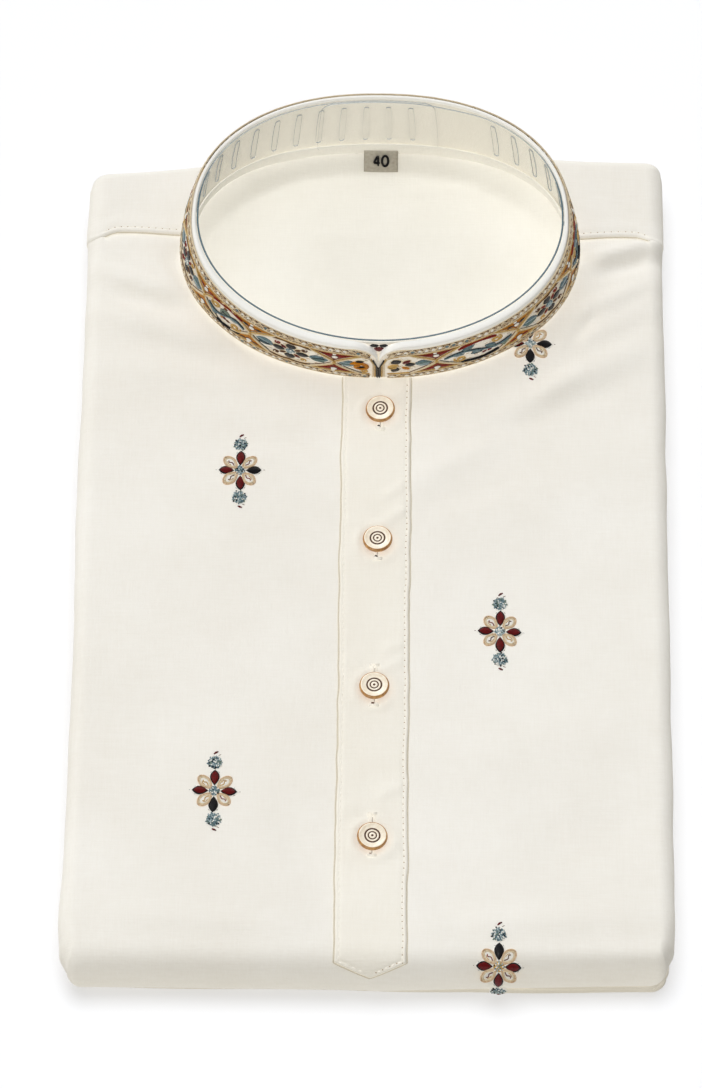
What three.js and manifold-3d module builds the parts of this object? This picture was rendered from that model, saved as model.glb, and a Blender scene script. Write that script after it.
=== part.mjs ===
// A cotton kurta, folded flat with its band collar standing up. Millimetres, +Z up.
// +X is the garment's left side as it faces the viewer, +Y runs from the folded hem end to the collar.
// The origin is on the surface it rests on, under the middle of its box.
import * as THREE from 'three';
import { mergeVertices } from 'three/addons/utils/BufferGeometryUtils.js';
import Module from 'manifold-3d';

const wasm = await Module();
wasm.setup();

// Driving dimensions
const WALL = 1.2; // cloth wall
const GAP = 0.3; // between pieces at seams
const HALF_WIDTH = 113; // folded width is 226
const END_Y = -181.8; // outside of the fold at the hem end
const TOP_Y = 176.5; // outside of the fold at the shoulders
const TOP_SKEW = 3.8; // the right shoulder lies further back than the left by twice this
const TOP_BOW = 2.5; // the shoulder fold bows out towards the middle
const NECK_BULGE = { out: 4.2, reach: 42 }; // and more so behind the collar
const TOP_Z = 24; // height of the front at its edges
const CROWN = 1.2; // rise of the front towards its middle
const UPPER_ROLL = 5.8; // radius of the side folds of the upper half
const END_ROLL = 12; // radius of the fold at the hem end, seen from above
const END_ROLL_MIDDLE = 12.4; // height of its middle
const SHOULDER_ROLL = 7; // how far the shoulder fold rounds over
const CORNER = 9; // corners in plan
const SEAM_Y = 138.8; // yoke seam beside the collar
const COLLAR_X = 1.4;
const PLACKET_X = 0.9;
const PLACKET_HALF = 13.3;

// Standing collar: an egg-shaped ring, wider behind, that narrows towards its top.
// half is half the width; front and back are the reaches from the middle y; full swells the back.
const COLLAR_BASE = { half: 78.4, y: 132, front: 59.3, back: 51, full: 2.35 };
const COLLAR_TOP = { half: 73, y: 125, front: 57.5, back: 57, full: 2.25 };
const COLLAR_TOP_Z = { front: 57, back: 61.5 };
const COLLAR_END_GAP = 1.2; // half the gap where the collar ends meet
const COLLAR_END_ROUND = 5; // rounding of the ends' top corners
const COLLAR_BOW = 0.6; // how far the wall bows out between foot and top
const BAND = 1.5; // outer band
const LINING = 1.2;
const SUPPORT = 0.6; // clear strip
const NECK_INSET = 3.6; // neck edge of the cloth, inside the collar's outer face
const FLOOR_DROP = 5; // how far the inside of the back lies below the neck edge

// Colours
const CREAM = 0xf1eee4;
const PLACKET_CREAM = 0xefeadd;
const COLLAR_GROUND = 0xc9b48c;
const WHITE = 0xf6f5f0;
const CLEAR = 0xd9e0e2;
const GREY = 0xb2aca0;
const BUTTON = 0xe6cfa8;
const GARNET = 0x7a1420;

// Broad soft folds of the cloth round the collar and at the hem end:
// a ridge (+) or trough (-) from one point to another.
const FOLDS = [
  { x0: 46, y0: 58, x1: 112, y1: 92, width: 15, height: 0.9 },
  { x0: 76, y0: 94, x1: 112, y1: 116, width: 12, height: -0.6 },
  { x0: 34, y0: 38, x1: 108, y1: 64, width: 14, height: -0.6 },
  { x0: 28, y0: 12, x1: 110, y1: 40, width: 17, height: 0.6 },
  { x0: -58, y0: 90, x1: -110, y1: 108, width: 13, height: 0.8 },
  { x0: -44, y0: 72, x1: -110, y1: 90, width: 12, height: -0.5 },
  { x0: -40, y0: -8, x1: -112, y1: -2, width: 16, height: 0.6 },
  { x0: -104, y0: -146, x1: 98, y1: -152, width: 14, height: 0.7 },
];

const BUTTONS = [
  { x: 2.4, y: 57.5 },
  { x: 1.9, y: -0.6 },
  { x: 1.3, y: -64.2 },
  { x: 1.1, y: -127.4 },
];
const FLOWERS = [
  { x: -51.4, y: 31.2 },
  { x: 61.3, y: 84.6 },
  { x: 48.5, y: -38.4 },
  { x: -57.8, y: -107.4 },
  { x: 48, y: -177.6 },
];

// Small helpers
const clamp01 = (t) => Math.min(1, Math.max(0, t));
const smooth = (a, b, v) => {
  const t = clamp01((v - a) / (b - a));
  return t * t * (3 - 2 * t);
};
const mix = (a, b, t) => a + (b - a) * t;

// Height of the cloth's upper face

function foldHeight(x, y) {
  let sum = 0;
  for (const f of FOLDS) {
    const dx = f.x1 - f.x0;
    const dy = f.y1 - f.y0;
    const length = Math.hypot(dx, dy);
    const along = ((x - f.x0) * dx + (y - f.y0) * dy) / length / length;
    const across = ((x - f.x0) * dy - (y - f.y0) * dx) / length;
    const taper = smooth(-0.25, 0.3, along) * (1 - smooth(0.6, 1.25, along));
    sum += f.height * taper * Math.exp(-((across / f.width) ** 2));
  }
  return sum;
}

// How far a point lies outside the foot of the collar, as a share of its size
function outsideCollar(x, y) {
  const c = COLLAR_BASE;
  const reach = y < c.y ? c.front : c.back;
  return Math.hypot((x - COLLAR_X) / c.half, (y - c.y) / reach);
}

function panelHeight(x, y) {
  const crown = CROWN * (1 - (x / HALF_WIDTH) ** 2) * (1 - ((y + 20) / 230) ** 2);
  const neckRise = 1.3 * (1 - smooth(1, 1.35, outsideCollar(x, y)));
  return TOP_Z + crown + neckRise + foldHeight(x, y);
}

// How far the shoulder fold moves out at x from where a straight one would be
function shoulderShift(x) {
  const side = x / HALF_WIDTH;
  const bulge = NECK_BULGE.out * Math.exp(-(((x - COLLAR_X) / NECK_BULGE.reach) ** 2));
  return TOP_SKEW * side + TOP_BOW * (1 - side * side) + bulge;
}

// Height of the upper face with the shoulder fold rounding down behind
function clothHeight(x, y) {
  const past = clamp01((y - (TOP_Y - SHOULDER_ROLL + shoulderShift(x))) / SHOULDER_ROLL);
  return panelHeight(x, y) - UPPER_ROLL * (1 - Math.sqrt(1 - past * past));
}

// A point on the front, or out from it by lift. Past the middle of the end roll, y runs on round it.
const ROLL_Y = END_Y + END_ROLL;
function onPanel(x, y, lift = 0) {
  if (y >= ROLL_Y) {
    return [x, y, panelHeight(x, y) + lift];
  }
  const angle = (ROLL_Y - y) / END_ROLL;
  const radius = END_ROLL + lift;
  const middle = panelHeight(x, ROLL_Y) - END_ROLL;
  return [x, ROLL_Y - radius * Math.sin(angle), middle + radius * Math.cos(angle)];
}

// Closed meshes

function meshFrom(points, faces) {
  const geometry = new THREE.BufferGeometry();
  geometry.setAttribute('position', new THREE.Float32BufferAttribute(points.flat(), 3));
  geometry.setIndex(faces.flat());
  return geometry;
}

// Joins a list of equal rings into a skin. A ring may be a single point.
// From ring flipFrom on, each square is split along its other diagonal.
function skinRings(rings, flipFrom = Infinity) {
  const points = [];
  const starts = rings.map((ring) => {
    const start = points.length;
    points.push(...ring);
    return start;
  });
  const faces = [];
  for (let i = 0; i < rings.length - 1; i++) {
    const n = Math.max(rings[i].length, rings[i + 1].length);
    const at = (ring, k) => starts[ring] + (rings[ring].length === 1 ? 0 : k % n);
    for (let k = 0; k < n; k++) {
      const [a, b] = [at(i, k), at(i, k + 1)];
      const [c, d] = [at(i + 1, k), at(i + 1, k + 1)];
      const pair = i >= flipFrom ? [[a, b, d], [a, d, c]] : [[a, b, c], [b, d, c]];
      faces.push(...pair.filter((face) => new Set(face).size === 3));
    }
  }
  return { points, faces };
}

// A wall swept along a path. A section runs up one side of the wall and down the other,
// with as many points on each, and the end caps join those points in pairs.
function sweep(sections) {
  const { points, faces } = skinRings(sections);
  const n = sections[0].length;
  const last = points.length - n;
  for (let k = 0; k < n / 2 - 1; k++) {
    const [a, b] = [k, k + 1];
    const [c, d] = [n - 1 - k, n - 2 - k];
    faces.push([a, c, b], [b, c, d]);
    faces.push([last + a, last + b, last + c], [last + b, last + d, last + c]);
  }
  return outward(points, faces);
}

// Turns the faces over where the body is inside out
function outward(points, faces) {
  let volume = 0;
  for (const [a, b, c] of faces) {
    const [p, q, r] = [points[a], points[b], points[c]];
    volume += p[0] * (q[1] * r[2] - q[2] * r[1]);
    volume -= p[1] * (q[0] * r[2] - q[2] * r[0]);
    volume += p[2] * (q[0] * r[1] - q[1] * r[0]);
  }
  const turned = volume < 0 ? faces.map(([a, b, c]) => [a, c, b]) : faces;
  return meshFrom(points, turned);
}

function toSolid(geometry) {
  const bare = geometry.clone();
  bare.deleteAttribute('normal');
  bare.deleteAttribute('uv');
  const merged = mergeVertices(bare, 1e-4);
  return new wasm.Manifold(
    new wasm.Mesh({
      numProp: 3,
      vertProperties: new Float32Array(merged.attributes.position.array),
      triVerts: new Uint32Array(merged.index.array),
    }),
  );
}

function fromSolid(solid) {
  const { vertProperties, triVerts, numProp } = solid.getMesh();
  const geometry = new THREE.BufferGeometry();
  geometry.setAttribute('position', new THREE.Float32BufferAttribute(Float32Array.from(vertProperties), numProp));
  geometry.setIndex(Array.from(triVerts));
  return geometry;
}

// An upright prism over an outline, for cutting
function prism(outline, z0, z1) {
  const shape = new THREE.Shape(outline.map(([x, y]) => new THREE.Vector2(x, y)));
  const geometry = new THREE.ExtrudeGeometry(shape, { depth: z1 - z0, bevelEnabled: false });
  return toSolid(geometry.translate(0, 0, z0));
}

// Outline of the folded garment in plan, inset by a distance, with the same points on every ring

const SIDE_STEPS = 12;
const END_STEPS = 10;
const CORNER_STEPS = 4;

function planOutline(halfX, y0, y1, radius) {
  const points = [];
  const corners = [
    { x: halfX, y: y1, from: 0, steps: END_STEPS },
    { x: -halfX, y: y1, from: 90, steps: SIDE_STEPS },
    { x: -halfX, y: y0, from: 180, steps: END_STEPS },
    { x: halfX, y: y0, from: 270, steps: SIDE_STEPS },
  ];
  corners.forEach((corner, i) => {
    const cx = corner.x - Math.sign(corner.x) * radius;
    const cy = corner.y === y1 ? y1 - radius : y0 + radius;
    for (let k = 0; k <= CORNER_STEPS; k++) {
      const a = THREE.MathUtils.degToRad(corner.from + (90 * k) / CORNER_STEPS);
      points.push([cx + radius * Math.cos(a), cy + radius * Math.sin(a)]);
    }
    const next = corners[(i + 1) % 4];
    const start = points[points.length - 1];
    const a = THREE.MathUtils.degToRad(next.from);
    const nx = next.x - Math.sign(next.x) * radius + radius * Math.cos(a);
    const ny = (next.y === y1 ? y1 - radius : y0 + radius) + radius * Math.sin(a);
    const steps = corner.steps;
    for (let k = 1; k < steps; k++) {
      points.push([mix(start[0], nx, k / steps), mix(start[1], ny, k / steps)]);
    }
  });
  return points.map(([x, y]) => [x, y + shoulderShift(x) * smooth(20, 160, y)]);
}

// The fold at an outline point: how far down it rounds, and the angle where it stops.
// Along the sides and shoulders it holds the upper half, and at the hem end the whole thickness.
function foldAt(x, y) {
  const atEnd = smooth(END_Y + 26, END_Y + 6, y);
  return {
    down: mix(UPPER_ROLL, panelHeight(x, y) / 2, atEnd),
    stop: THREE.MathUtils.degToRad(mix(172, 165, atEnd)),
  };
}

const TOP_RINGS = 8;
const ROLL_RINGS = 6;

// Rings of the upper half's outer skin, moved in by inset: over the top, then round its folds
function upperRings(inset, further = 0) {
  const flat = planOutline(HALF_WIDTH - UPPER_ROLL, ROLL_Y, TOP_Y - SHOULDER_ROLL, 3);
  const outer = planOutline(HALF_WIDTH - inset, END_Y + inset, TOP_Y - inset, CORNER - inset);
  const middleY = (ROLL_Y + TOP_Y - SHOULDER_ROLL) / 2;
  const rings = [[[0, middleY, panelHeight(0, middleY) - inset]]];
  for (let i = 1; i <= TOP_RINGS; i++) {
    const k = i / TOP_RINGS;
    rings.push(
      flat.map(([x, y]) => {
        const p = [x * k, middleY + (y - middleY) * k];
        return [...p, panelHeight(...p) - inset];
      }),
    );
  }
  for (let i = 1; i <= ROLL_RINGS; i++) {
    rings.push(
      flat.map(([x, y], k) => {
        const fold = foldAt(x, y);
        const angle = ((fold.stop + further) * i) / ROLL_RINGS;
        const t = Math.sin(angle);
        const z = panelHeight(x, y) - fold.down + (fold.down - inset) * Math.cos(angle);
        return [mix(x, outer[k][0], t), mix(y, outer[k][1], t), z];
      }),
    );
  }
  return rings;
}

// Front and yoke share one skin, parted at the yoke seam and cut out at the neck

function wallSkin(from, to, further) {
  const outside = upperRings(from, further);
  const inside = upperRings(to, further).reverse();
  const { points, faces } = skinRings([...outside, ...inside], outside.length);
  return toSolid(outward(points, faces));
}

function seamY(x) {
  const side = Math.abs(x) / HALF_WIDTH;
  return SEAM_Y + 2.2 * smooth(0.65, 0.88, side) - 4.2 * smooth(0.9, 1, side);
}

function seamPrism(side) {
  const line = [];
  for (let x = -130; x <= 130; x += 6.5) {
    line.push([x, seamY(x) + (side * GAP) / 2]);
  }
  return prism([...line, [130, side * 230], [-130, side * 230]], -20, 90);
}

function eggPoint(egg, angle, inset = 0) {
  const reach = (Math.cos(angle) > 0 ? egg.front : egg.back) - inset;
  const power = Math.cos(angle) > 0 ? 1 : 2 / egg.full;
  const s = Math.sin(angle);
  const c = Math.cos(angle);
  return [
    COLLAR_X + (egg.half - inset) * Math.sign(s) * Math.abs(s) ** power,
    egg.y - reach * Math.sign(c) * Math.abs(c) ** power,
  ];
}

function eggOutline(egg, inset, steps) {
  return Array.from({ length: steps }, (_, i) => eggPoint(egg, (i * 2 * Math.PI) / steps, inset));
}

const skin = wallSkin(0, WALL, 0);
const neckHole = prism(eggOutline(COLLAR_BASE, NECK_INSET, 48), -20, 90);

function frontPanel() {
  return fromSolid(skin.intersect(seamPrism(-1)).subtract(neckHole));
}

function yoke() {
  return fromSolid(skin.intersect(seamPrism(1)).subtract(neckHole));
}

// Hidden layers: one rounded solid under the skin, with the edges of its folds stacked below

// Lower folds, from the top down: height of each, and how far its edge stands in from the side
const LOWER_LAYERS = [
  { height: 4.4, side: 2.6, shoulder: 3.5 },
  { height: 4.2, side: 4.2, shoulder: 2 },
  { height: 4.1, side: 2.2, shoulder: 5 },
];
const LAYER_NOTCH = 3.2;

// Upper half inside its skin, down to where the skin ends
function upperCore() {
  const rings = [...upperRings(WALL + GAP), [[0, 0, TOP_Z - 2 * UPPER_ROLL]]];
  const { points, faces } = skinRings(rings);
  return toSolid(outward(points, faces));
}

// Outline of the lower half at a height, kept inside the roll of the hem end
function lowerOutline(z, side, shoulder) {
  const radius = END_ROLL - WALL - 3 * GAP;
  const roll = Math.sqrt(Math.max(0, radius ** 2 - (END_ROLL_MIDDLE - z) ** 2));
  const outline = planOutline(HALF_WIDTH - side, ROLL_Y - roll + 1.2, TOP_Y - shoulder, 7);
  return outline.map((p) => [...p, z]);
}

function lowerStack() {
  let z = TOP_Z - 2 * UPPER_ROLL + GAP;
  const rings = [[[0, 0, z + GAP]]];
  for (const layer of LOWER_LAYERS) {
    const half = layer.height / 2;
    for (const step of [90, 45, 0, -45]) {
      const a = THREE.MathUtils.degToRad(step);
      const inward = LAYER_NOTCH * (1 - Math.cos(a));
      rings.push(lowerOutline(z - half + half * Math.sin(a), layer.side + inward, layer.shoulder + inward));
    }
    z -= layer.height;
  }
  const last = LOWER_LAYERS[LOWER_LAYERS.length - 1];
  rings.push(lowerOutline(0, last.side + LAYER_NOTCH, last.shoulder + LAYER_NOTCH));
  rings.push([[0, 0, 0]]);
  const { points, faces } = skinRings(rings);
  return toSolid(outward(points, faces));
}

function foldedLayers() {
  const clearOfSkin = lowerStack().subtract(wallSkin(-2 * GAP, WALL + GAP, 0.06));
  const neck = prism(eggOutline(COLLAR_BASE, NECK_INSET, 48), NECK_FLOOR - WALL - GAP, 90);
  return fromSolid(upperCore().add(clearOfSkin).subtract(neck));
}

// Inside of the back, seen through the neck: flat in the middle, rising to the seam behind

const NECK_FLOOR = TOP_Z + 1.2 - FLOOR_DROP;

function backInside() {
  const steps = 40;
  const shares = [0.84, 0.93, 1];
  const height = (share, angle) => {
    const behind = smooth(-0.1, 0.75, -Math.cos(angle));
    return NECK_FLOOR + behind * (FLOOR_DROP - 0.4) * smooth(0.84, 1, share);
  };
  const ring = (share, drop) => {
    const outline = eggOutline(COLLAR_BASE, NECK_INSET + 0.8, steps);
    return outline.map(([x, y], i) => [
      mix(COLLAR_X, x, share),
      mix(COLLAR_BASE.y, y, share),
      height(share, (i * 2 * Math.PI) / steps) - drop,
    ]);
  };
  const upper = shares.map((share) => ring(share, 0));
  const lower = shares.map((share) => ring(share, WALL)).reverse();
  const top = [[COLLAR_X, COLLAR_BASE.y, NECK_FLOOR]];
  const under = [[COLLAR_X, COLLAR_BASE.y, NECK_FLOOR - WALL]];
  const { points, faces } = skinRings([top, ...upper, ...lower, under]);
  return outward(points, faces);
}

// Collar

// A point of the collar: angle round it (0 in front), share of its height, inset from the outer face
function onCollar(angle, share, inset) {
  const base = eggPoint(COLLAR_BASE, angle, inset);
  const top = eggPoint(COLLAR_TOP, angle, inset);
  const foot = eggPoint(COLLAR_BASE, angle, Math.min(inset, NECK_INSET));
  const behind = (1 - Math.cos(angle)) / 2;
  const z0 = clothHeight(...foot) + (2 + behind) * GAP;
  const z1 = mix(COLLAR_TOP_Z.front, COLLAR_TOP_Z.back, behind);
  const bow = COLLAR_BOW * Math.sin(Math.PI * share);
  const bowed = [mix(base[0], top[0], share), mix(base[1], top[1], share)];
  const out = [bowed[0] - COLLAR_X, bowed[1] - COLLAR_BASE.y];
  const size = Math.hypot(...out);
  return [bowed[0] + (out[0] / size) * bow, bowed[1] + (out[1] / size) * bow, mix(z0, z1, share)];
}

// Half the angle that a distance in front takes up
const frontAngle = (distance) => Math.asin(distance / COLLAR_TOP.half);

// Stations round the collar from one end to the other, closer together near the rounded ends
function collarAngles(steps) {
  const near = [0, 0.4, 1.2, 2.6, COLLAR_END_ROUND].map((d) => frontAngle(COLLAR_END_GAP + d));
  const far = near.map((a) => Math.PI * 2 - a).reverse();
  const rest = Array.from({ length: steps - 1 }, (_, i) => mix(near[4], far[0], (i + 1) / steps));
  return [...near, ...rest, ...far];
}

// How far the rounded ends cut the top down
function endDrop(angle) {
  const away = Math.abs(Math.sin(angle)) * COLLAR_TOP.half - COLLAR_END_GAP;
  if (Math.cos(angle) < 0 || away >= COLLAR_END_ROUND) {
    return 0;
  }
  const r = COLLAR_END_ROUND;
  return r - Math.sqrt(r * r - (r - Math.max(0, away)) ** 2);
}

// Rows of a wall's section, from its foot up: share of the height, insets of the outer and the
// inner side, and how far each side steps down from there.
const BAND_ROWS = [
  { share: 0, outer: -0.1, inner: BAND },
  { share: 0.1, outer: -0.4, inner: BAND },
  { share: 0.16, outer: 0, inner: BAND },
  { share: 0.5, outer: 0, inner: BAND },
  { share: 0.86, outer: 0, inner: BAND },
  { share: 0.92, outer: -0.4, inner: BAND },
  { share: 1, outer: 0, inner: BAND, outerDown: 1.6, innerDown: 1.6 },
];
const LINING_OUTER = BAND + GAP;
const LINING_INNER = LINING_OUTER + LINING;
const LINING_ROWS = [
  { share: 0, outer: LINING_OUTER, inner: LINING_INNER },
  { share: 0.5, outer: LINING_OUTER, inner: LINING_INNER },
  { share: 1, outer: LINING_OUTER, inner: LINING_INNER, outerDown: 1.3, innerDown: 1.4 },
  { share: 1, outer: 0.2, inner: LINING_INNER, outerDown: 1.2, innerDown: 0.7 },
  { share: 1, outer: 0.5, inner: LINING_INNER - 0.4, outerDown: 0.3 },
];

function collarBand(rows, steps) {
  return sweep(
    collarAngles(steps).map((angle) => {
      const side = (row, inset, down = 0) => {
        const [x, y, z] = onCollar(angle, row.share, inset);
        return [x, y, z - down - endDrop(angle) * smooth(0.4, 1, row.share)];
      };
      const outer = rows.map((row) => side(row, row.outer, row.outerDown));
      const inner = rows.map((row) => side(row, row.inner, row.innerDown));
      return [...outer, ...inner.reverse()];
    }),
  );
}

// Tab of one collar end, behind the notch where the ends meet
const LAP = { inset: LINING_INNER + GAP, wall: 1, half: 9, low: 0.12, high: 0.9 };

function collarUnderlap() {
  const steps = 8;
  const sections = [];
  for (let i = 0; i <= steps; i++) {
    const angle = frontAngle(mix(-LAP.half, LAP.half, i / steps));
    sections.push([
      onCollar(angle, LAP.low, LAP.inset),
      onCollar(angle, LAP.high, LAP.inset),
      onCollar(angle, LAP.high, LAP.inset + LAP.wall),
      onCollar(angle, LAP.low, LAP.inset + LAP.wall),
    ]);
  }
  return sweep(sections);
}

// Clear strip inside the collar. It passes once round and overlaps itself behind.
const STRIP = { low: 0.16, high: 0.985, overlap: 0.34, lap: 1.1 };

function collarSupport() {
  const steps = 60;
  const start = Math.PI - STRIP.overlap;
  const end = 3 * Math.PI + STRIP.overlap;
  const base = LINING_INNER + 2 * GAP;
  const sections = [];
  for (let i = 0; i <= steps; i++) {
    const angle = mix(start, end, i / steps);
    const inFront = smooth(0.9, 0.995, Math.cos(angle)) * (LAP.wall + GAP);
    const overlap = smooth(3 * Math.PI - 0.75, 3 * Math.PI - 0.4, angle) * STRIP.lap;
    const inset = base + inFront + overlap;
    sections.push([
      onCollar(angle, STRIP.low, inset),
      onCollar(angle, STRIP.high, inset),
      onCollar(angle, STRIP.high, inset + SUPPORT),
      onCollar(angle, STRIP.low, inset + SUPPORT),
    ]);
  }
  return sweep(sections);
}

// Binding over the neck seam, inside, below the clear strip
function neckBinding() {
  const steps = 56;
  const from = 0.55;
  const inset = LINING_INNER + GAP + 0.1;
  const sections = [];
  for (let i = 0; i <= steps; i++) {
    const angle = mix(from, 2 * Math.PI - from, i / steps);
    sections.push([
      onCollar(angle, 0.01, inset),
      onCollar(angle, 0.1, inset),
      onCollar(angle, 0.08, inset + 1.3),
      onCollar(angle, 0.02, inset + 1.3),
    ]);
  }
  return sweep(sections);
}

// Trim on the front

const PLACKET_LIFT = 0.5;
const PLACKET_TIP = { corner: 6.9, point: 12.8 };

function placket() {
  const topY = eggPoint(COLLAR_BASE, 0.1)[1] - 1.2;
  const corner = ROLL_Y - PLACKET_TIP.corner;
  const rows = [];
  const steps = 16;
  for (let i = 0; i <= steps; i++) {
    rows.push({ y: mix(topY, ROLL_Y, i / steps), half: PLACKET_HALF });
  }
  rows.push({ y: ROLL_Y - 3.5, half: PLACKET_HALF });
  rows.push({ y: corner, half: PLACKET_HALF });
  rows.push({ y: corner - 2.6, half: PLACKET_HALF * 0.56 });
  rows.push({ y: ROLL_Y - PLACKET_TIP.point, half: 1 });
  const shares = [-1, -0.5, 0, 0.5, 1];
  const edge = ({ y, half }, lift) =>
    shares.map((share) => onPanel(PLACKET_X + half * share, y, lift));
  return sweep(
    rows.map((row) => [
      ...edge(row, PLACKET_LIFT + WALL),
      ...edge(row, PLACKET_LIFT).reverse(),
    ]),
  );
}

const BUTTON_RADIUS = 5.7;

// A turned button with a raised rim, a ring and a middle, standing on its thread
function button() {
  const profile = [
    [0, 0],
    [1.6, 0],
    [1.8, 0.7],
    [4.9, 0.9],
    [BUTTON_RADIUS, 1.9],
    [5.2, 3.2],
    [3.4, 2.8],
    [0, 3],
  ];
  const lathe = new THREE.LatheGeometry(
    profile.map(([r, z]) => new THREE.Vector2(r, z)),
    16,
  );
  return lathe.rotateX(Math.PI / 2);
}

// Flower: four pointed petals, four round ones between them, a middle, and a disc above and below
const FLOWER_REACH = 8.8;
const FLOWER_HEIGHT = 0.9;

function pointedPetal(length, half) {
  const shape = new THREE.Shape();
  shape.moveTo(0.6, 0);
  shape.quadraticCurveTo(length * 0.55, half * 2, length, 0);
  shape.quadraticCurveTo(length * 0.55, -half * 2, 0.6, 0);
  return shape;
}

function ellipse(x, y, rx, ry) {
  const shape = new THREE.Shape();
  shape.absellipse(x, y, rx, ry, 0, Math.PI * 2);
  return shape;
}

function flowerSolid() {
  const plate = (shape, turn, segments) => {
    const options = { depth: FLOWER_HEIGHT, bevelEnabled: false, curveSegments: segments };
    const geometry = new THREE.ExtrudeGeometry(shape, options);
    return toSolid(geometry.rotateZ(THREE.MathUtils.degToRad(turn)));
  };
  let flower = plate(ellipse(0, 0, 2.3, 2.3), 0, 4);
  for (let i = 0; i < 4; i++) {
    flower = flower.add(plate(pointedPetal(FLOWER_REACH, 1.9), 90 * i, 3));
    flower = flower.add(plate(ellipse(4.9, 0, 3.2, 1.9), 90 * i + 45, 5));
  }
  for (const side of [-1, 1]) {
    flower = flower.add(plate(ellipse(0, side * (FLOWER_REACH + 2.1), 2.5, 2.7), 0, 5));
  }
  return flower;
}

// The second flower runs in under the foot of the collar
const collarFoot = prism(eggOutline(COLLAR_BASE, -2 * GAP, 64), -20, 90);

function flower({ x, y }, lift) {
  const plate = flowerSolid().translate([x, y, 0]).subtract(collarFoot).translate([-x, -y, 0]);
  const geometry = fromSolid(plate);
  const position = geometry.attributes.position;
  for (let i = 0; i < position.count; i++) {
    const [px, py, pz] = [position.getX(i), position.getY(i), position.getZ(i)];
    position.setXYZ(i, ...onPanel(x + px, y + py, lift + pz));
  }
  return geometry;
}

// Woven label at the back of the neck. It hangs from the neck seam, over the binding.
const LABEL = { half: 6.8, length: 8.6, thick: 0.7, tilt: 51 };

function sizeLabel() {
  const back = eggPoint(COLLAR_BASE, Math.PI, NECK_INSET + 2.2)[1];
  const geometry = new THREE.BoxGeometry(2 * LABEL.half, LABEL.length, LABEL.thick);
  geometry.rotateX(THREE.MathUtils.degToRad(LABEL.tilt));
  return geometry.translate(COLLAR_X, back - LABEL.length / 4 - 0.1, NECK_FLOOR + 4.85);
}

// The assembled garment

const kurta = new THREE.Group();

function addPiece(name, geometry, color, finish = {}) {
  const material = new THREE.MeshStandardMaterial({ color, roughness: 0.85, metalness: 0, ...finish });
  const mesh = new THREE.Mesh(geometry, material);
  mesh.name = name;
  kurta.add(mesh);
  return mesh;
}

addPiece('folded_layers', foldedLayers(), CREAM);
addPiece('front_panel', frontPanel(), CREAM);
addPiece('yoke', yoke(), CREAM);
addPiece('back_inside', backInside(), CREAM);
addPiece('placket', placket(), PLACKET_CREAM);
addPiece('collar_outer', collarBand(BAND_ROWS, 44), COLLAR_GROUND, { roughness: 0.6 });
addPiece('collar_lining', collarBand(LINING_ROWS, 44), WHITE);
addPiece('collar_underlap', collarUnderlap(), CREAM);
addPiece('collar_support', collarSupport(), CLEAR, { roughness: 0.1, transparent: true, opacity: 0.35 });
addPiece('neck_binding', neckBinding(), CREAM);
addPiece('size_label', sizeLabel(), GREY);

BUTTONS.forEach(({ x, y }, i) => {
  const mesh = addPiece(`button_${i + 1}`, button(), BUTTON, { roughness: 0.35 });
  mesh.position.set(...onPanel(x, y, PLACKET_LIFT + WALL + GAP));
});

FLOWERS.forEach((place, i) => {
  const lift = place.y < ROLL_Y + 20 ? 0.9 : 0.5;
  addPiece(`flower_${i + 1}`, flower(place, lift), GARNET, { roughness: 0.4 });
});

export default kurta;
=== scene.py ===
"""A cotton kurta, folded flat, with its embroidered band collar standing up on a clear strip.

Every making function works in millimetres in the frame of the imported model, and each mesh is turned
into metres as it is built. +X is right, +Y runs from the folded hem end to the collar, +Z is up.
"""
import math
import random

import bmesh
import bpy
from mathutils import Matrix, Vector, noise


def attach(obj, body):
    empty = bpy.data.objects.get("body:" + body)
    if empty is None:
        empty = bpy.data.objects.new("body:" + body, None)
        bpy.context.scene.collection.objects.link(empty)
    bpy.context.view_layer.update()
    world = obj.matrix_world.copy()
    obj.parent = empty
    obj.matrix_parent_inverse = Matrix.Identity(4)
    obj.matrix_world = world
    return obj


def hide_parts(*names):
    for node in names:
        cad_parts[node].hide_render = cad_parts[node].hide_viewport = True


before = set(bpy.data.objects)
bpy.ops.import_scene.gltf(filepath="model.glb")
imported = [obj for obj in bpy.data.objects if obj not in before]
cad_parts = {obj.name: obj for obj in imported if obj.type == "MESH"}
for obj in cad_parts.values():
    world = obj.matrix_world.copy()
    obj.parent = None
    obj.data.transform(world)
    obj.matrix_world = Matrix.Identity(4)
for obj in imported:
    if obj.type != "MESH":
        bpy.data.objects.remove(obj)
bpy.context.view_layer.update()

MM = 0.001
TURN = 2 * math.pi

# Driving dimensions, the same as the solids'
HALF_WIDTH = 113
END_Y = -181.8
TOP_Y = 176.5
TOP_SKEW = 3.8
TOP_BOW = 2.5
BULGE_OUT = 4.2
BULGE_REACH = 42
TOP_Z = 24
CROWN = 1.2
UPPER_ROLL = 5.8
END_ROLL = 12
SHOULDER_ROLL = 7
HEM_CORNER = (5.5, 2.6, 3.2)  # of the outline: a slant's length and reach inward, and a radius
SHOULDER_CORNER = (3.0, 0.4, 5.0)
HEM_SKEW = 4.2  # how far the hem end's right side stands back
SEAM_Y = 138.8
COLLAR_X = 1.4
PLACKET_X = 0.9
PLACKET_HALF = 13.3
GAP = 0.3
ROLL_Y = END_Y + END_ROLL
FLAT_X = HALF_WIDTH - UPPER_ROLL
SHOULDER_Y = TOP_Y - SHOULDER_ROLL

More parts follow.
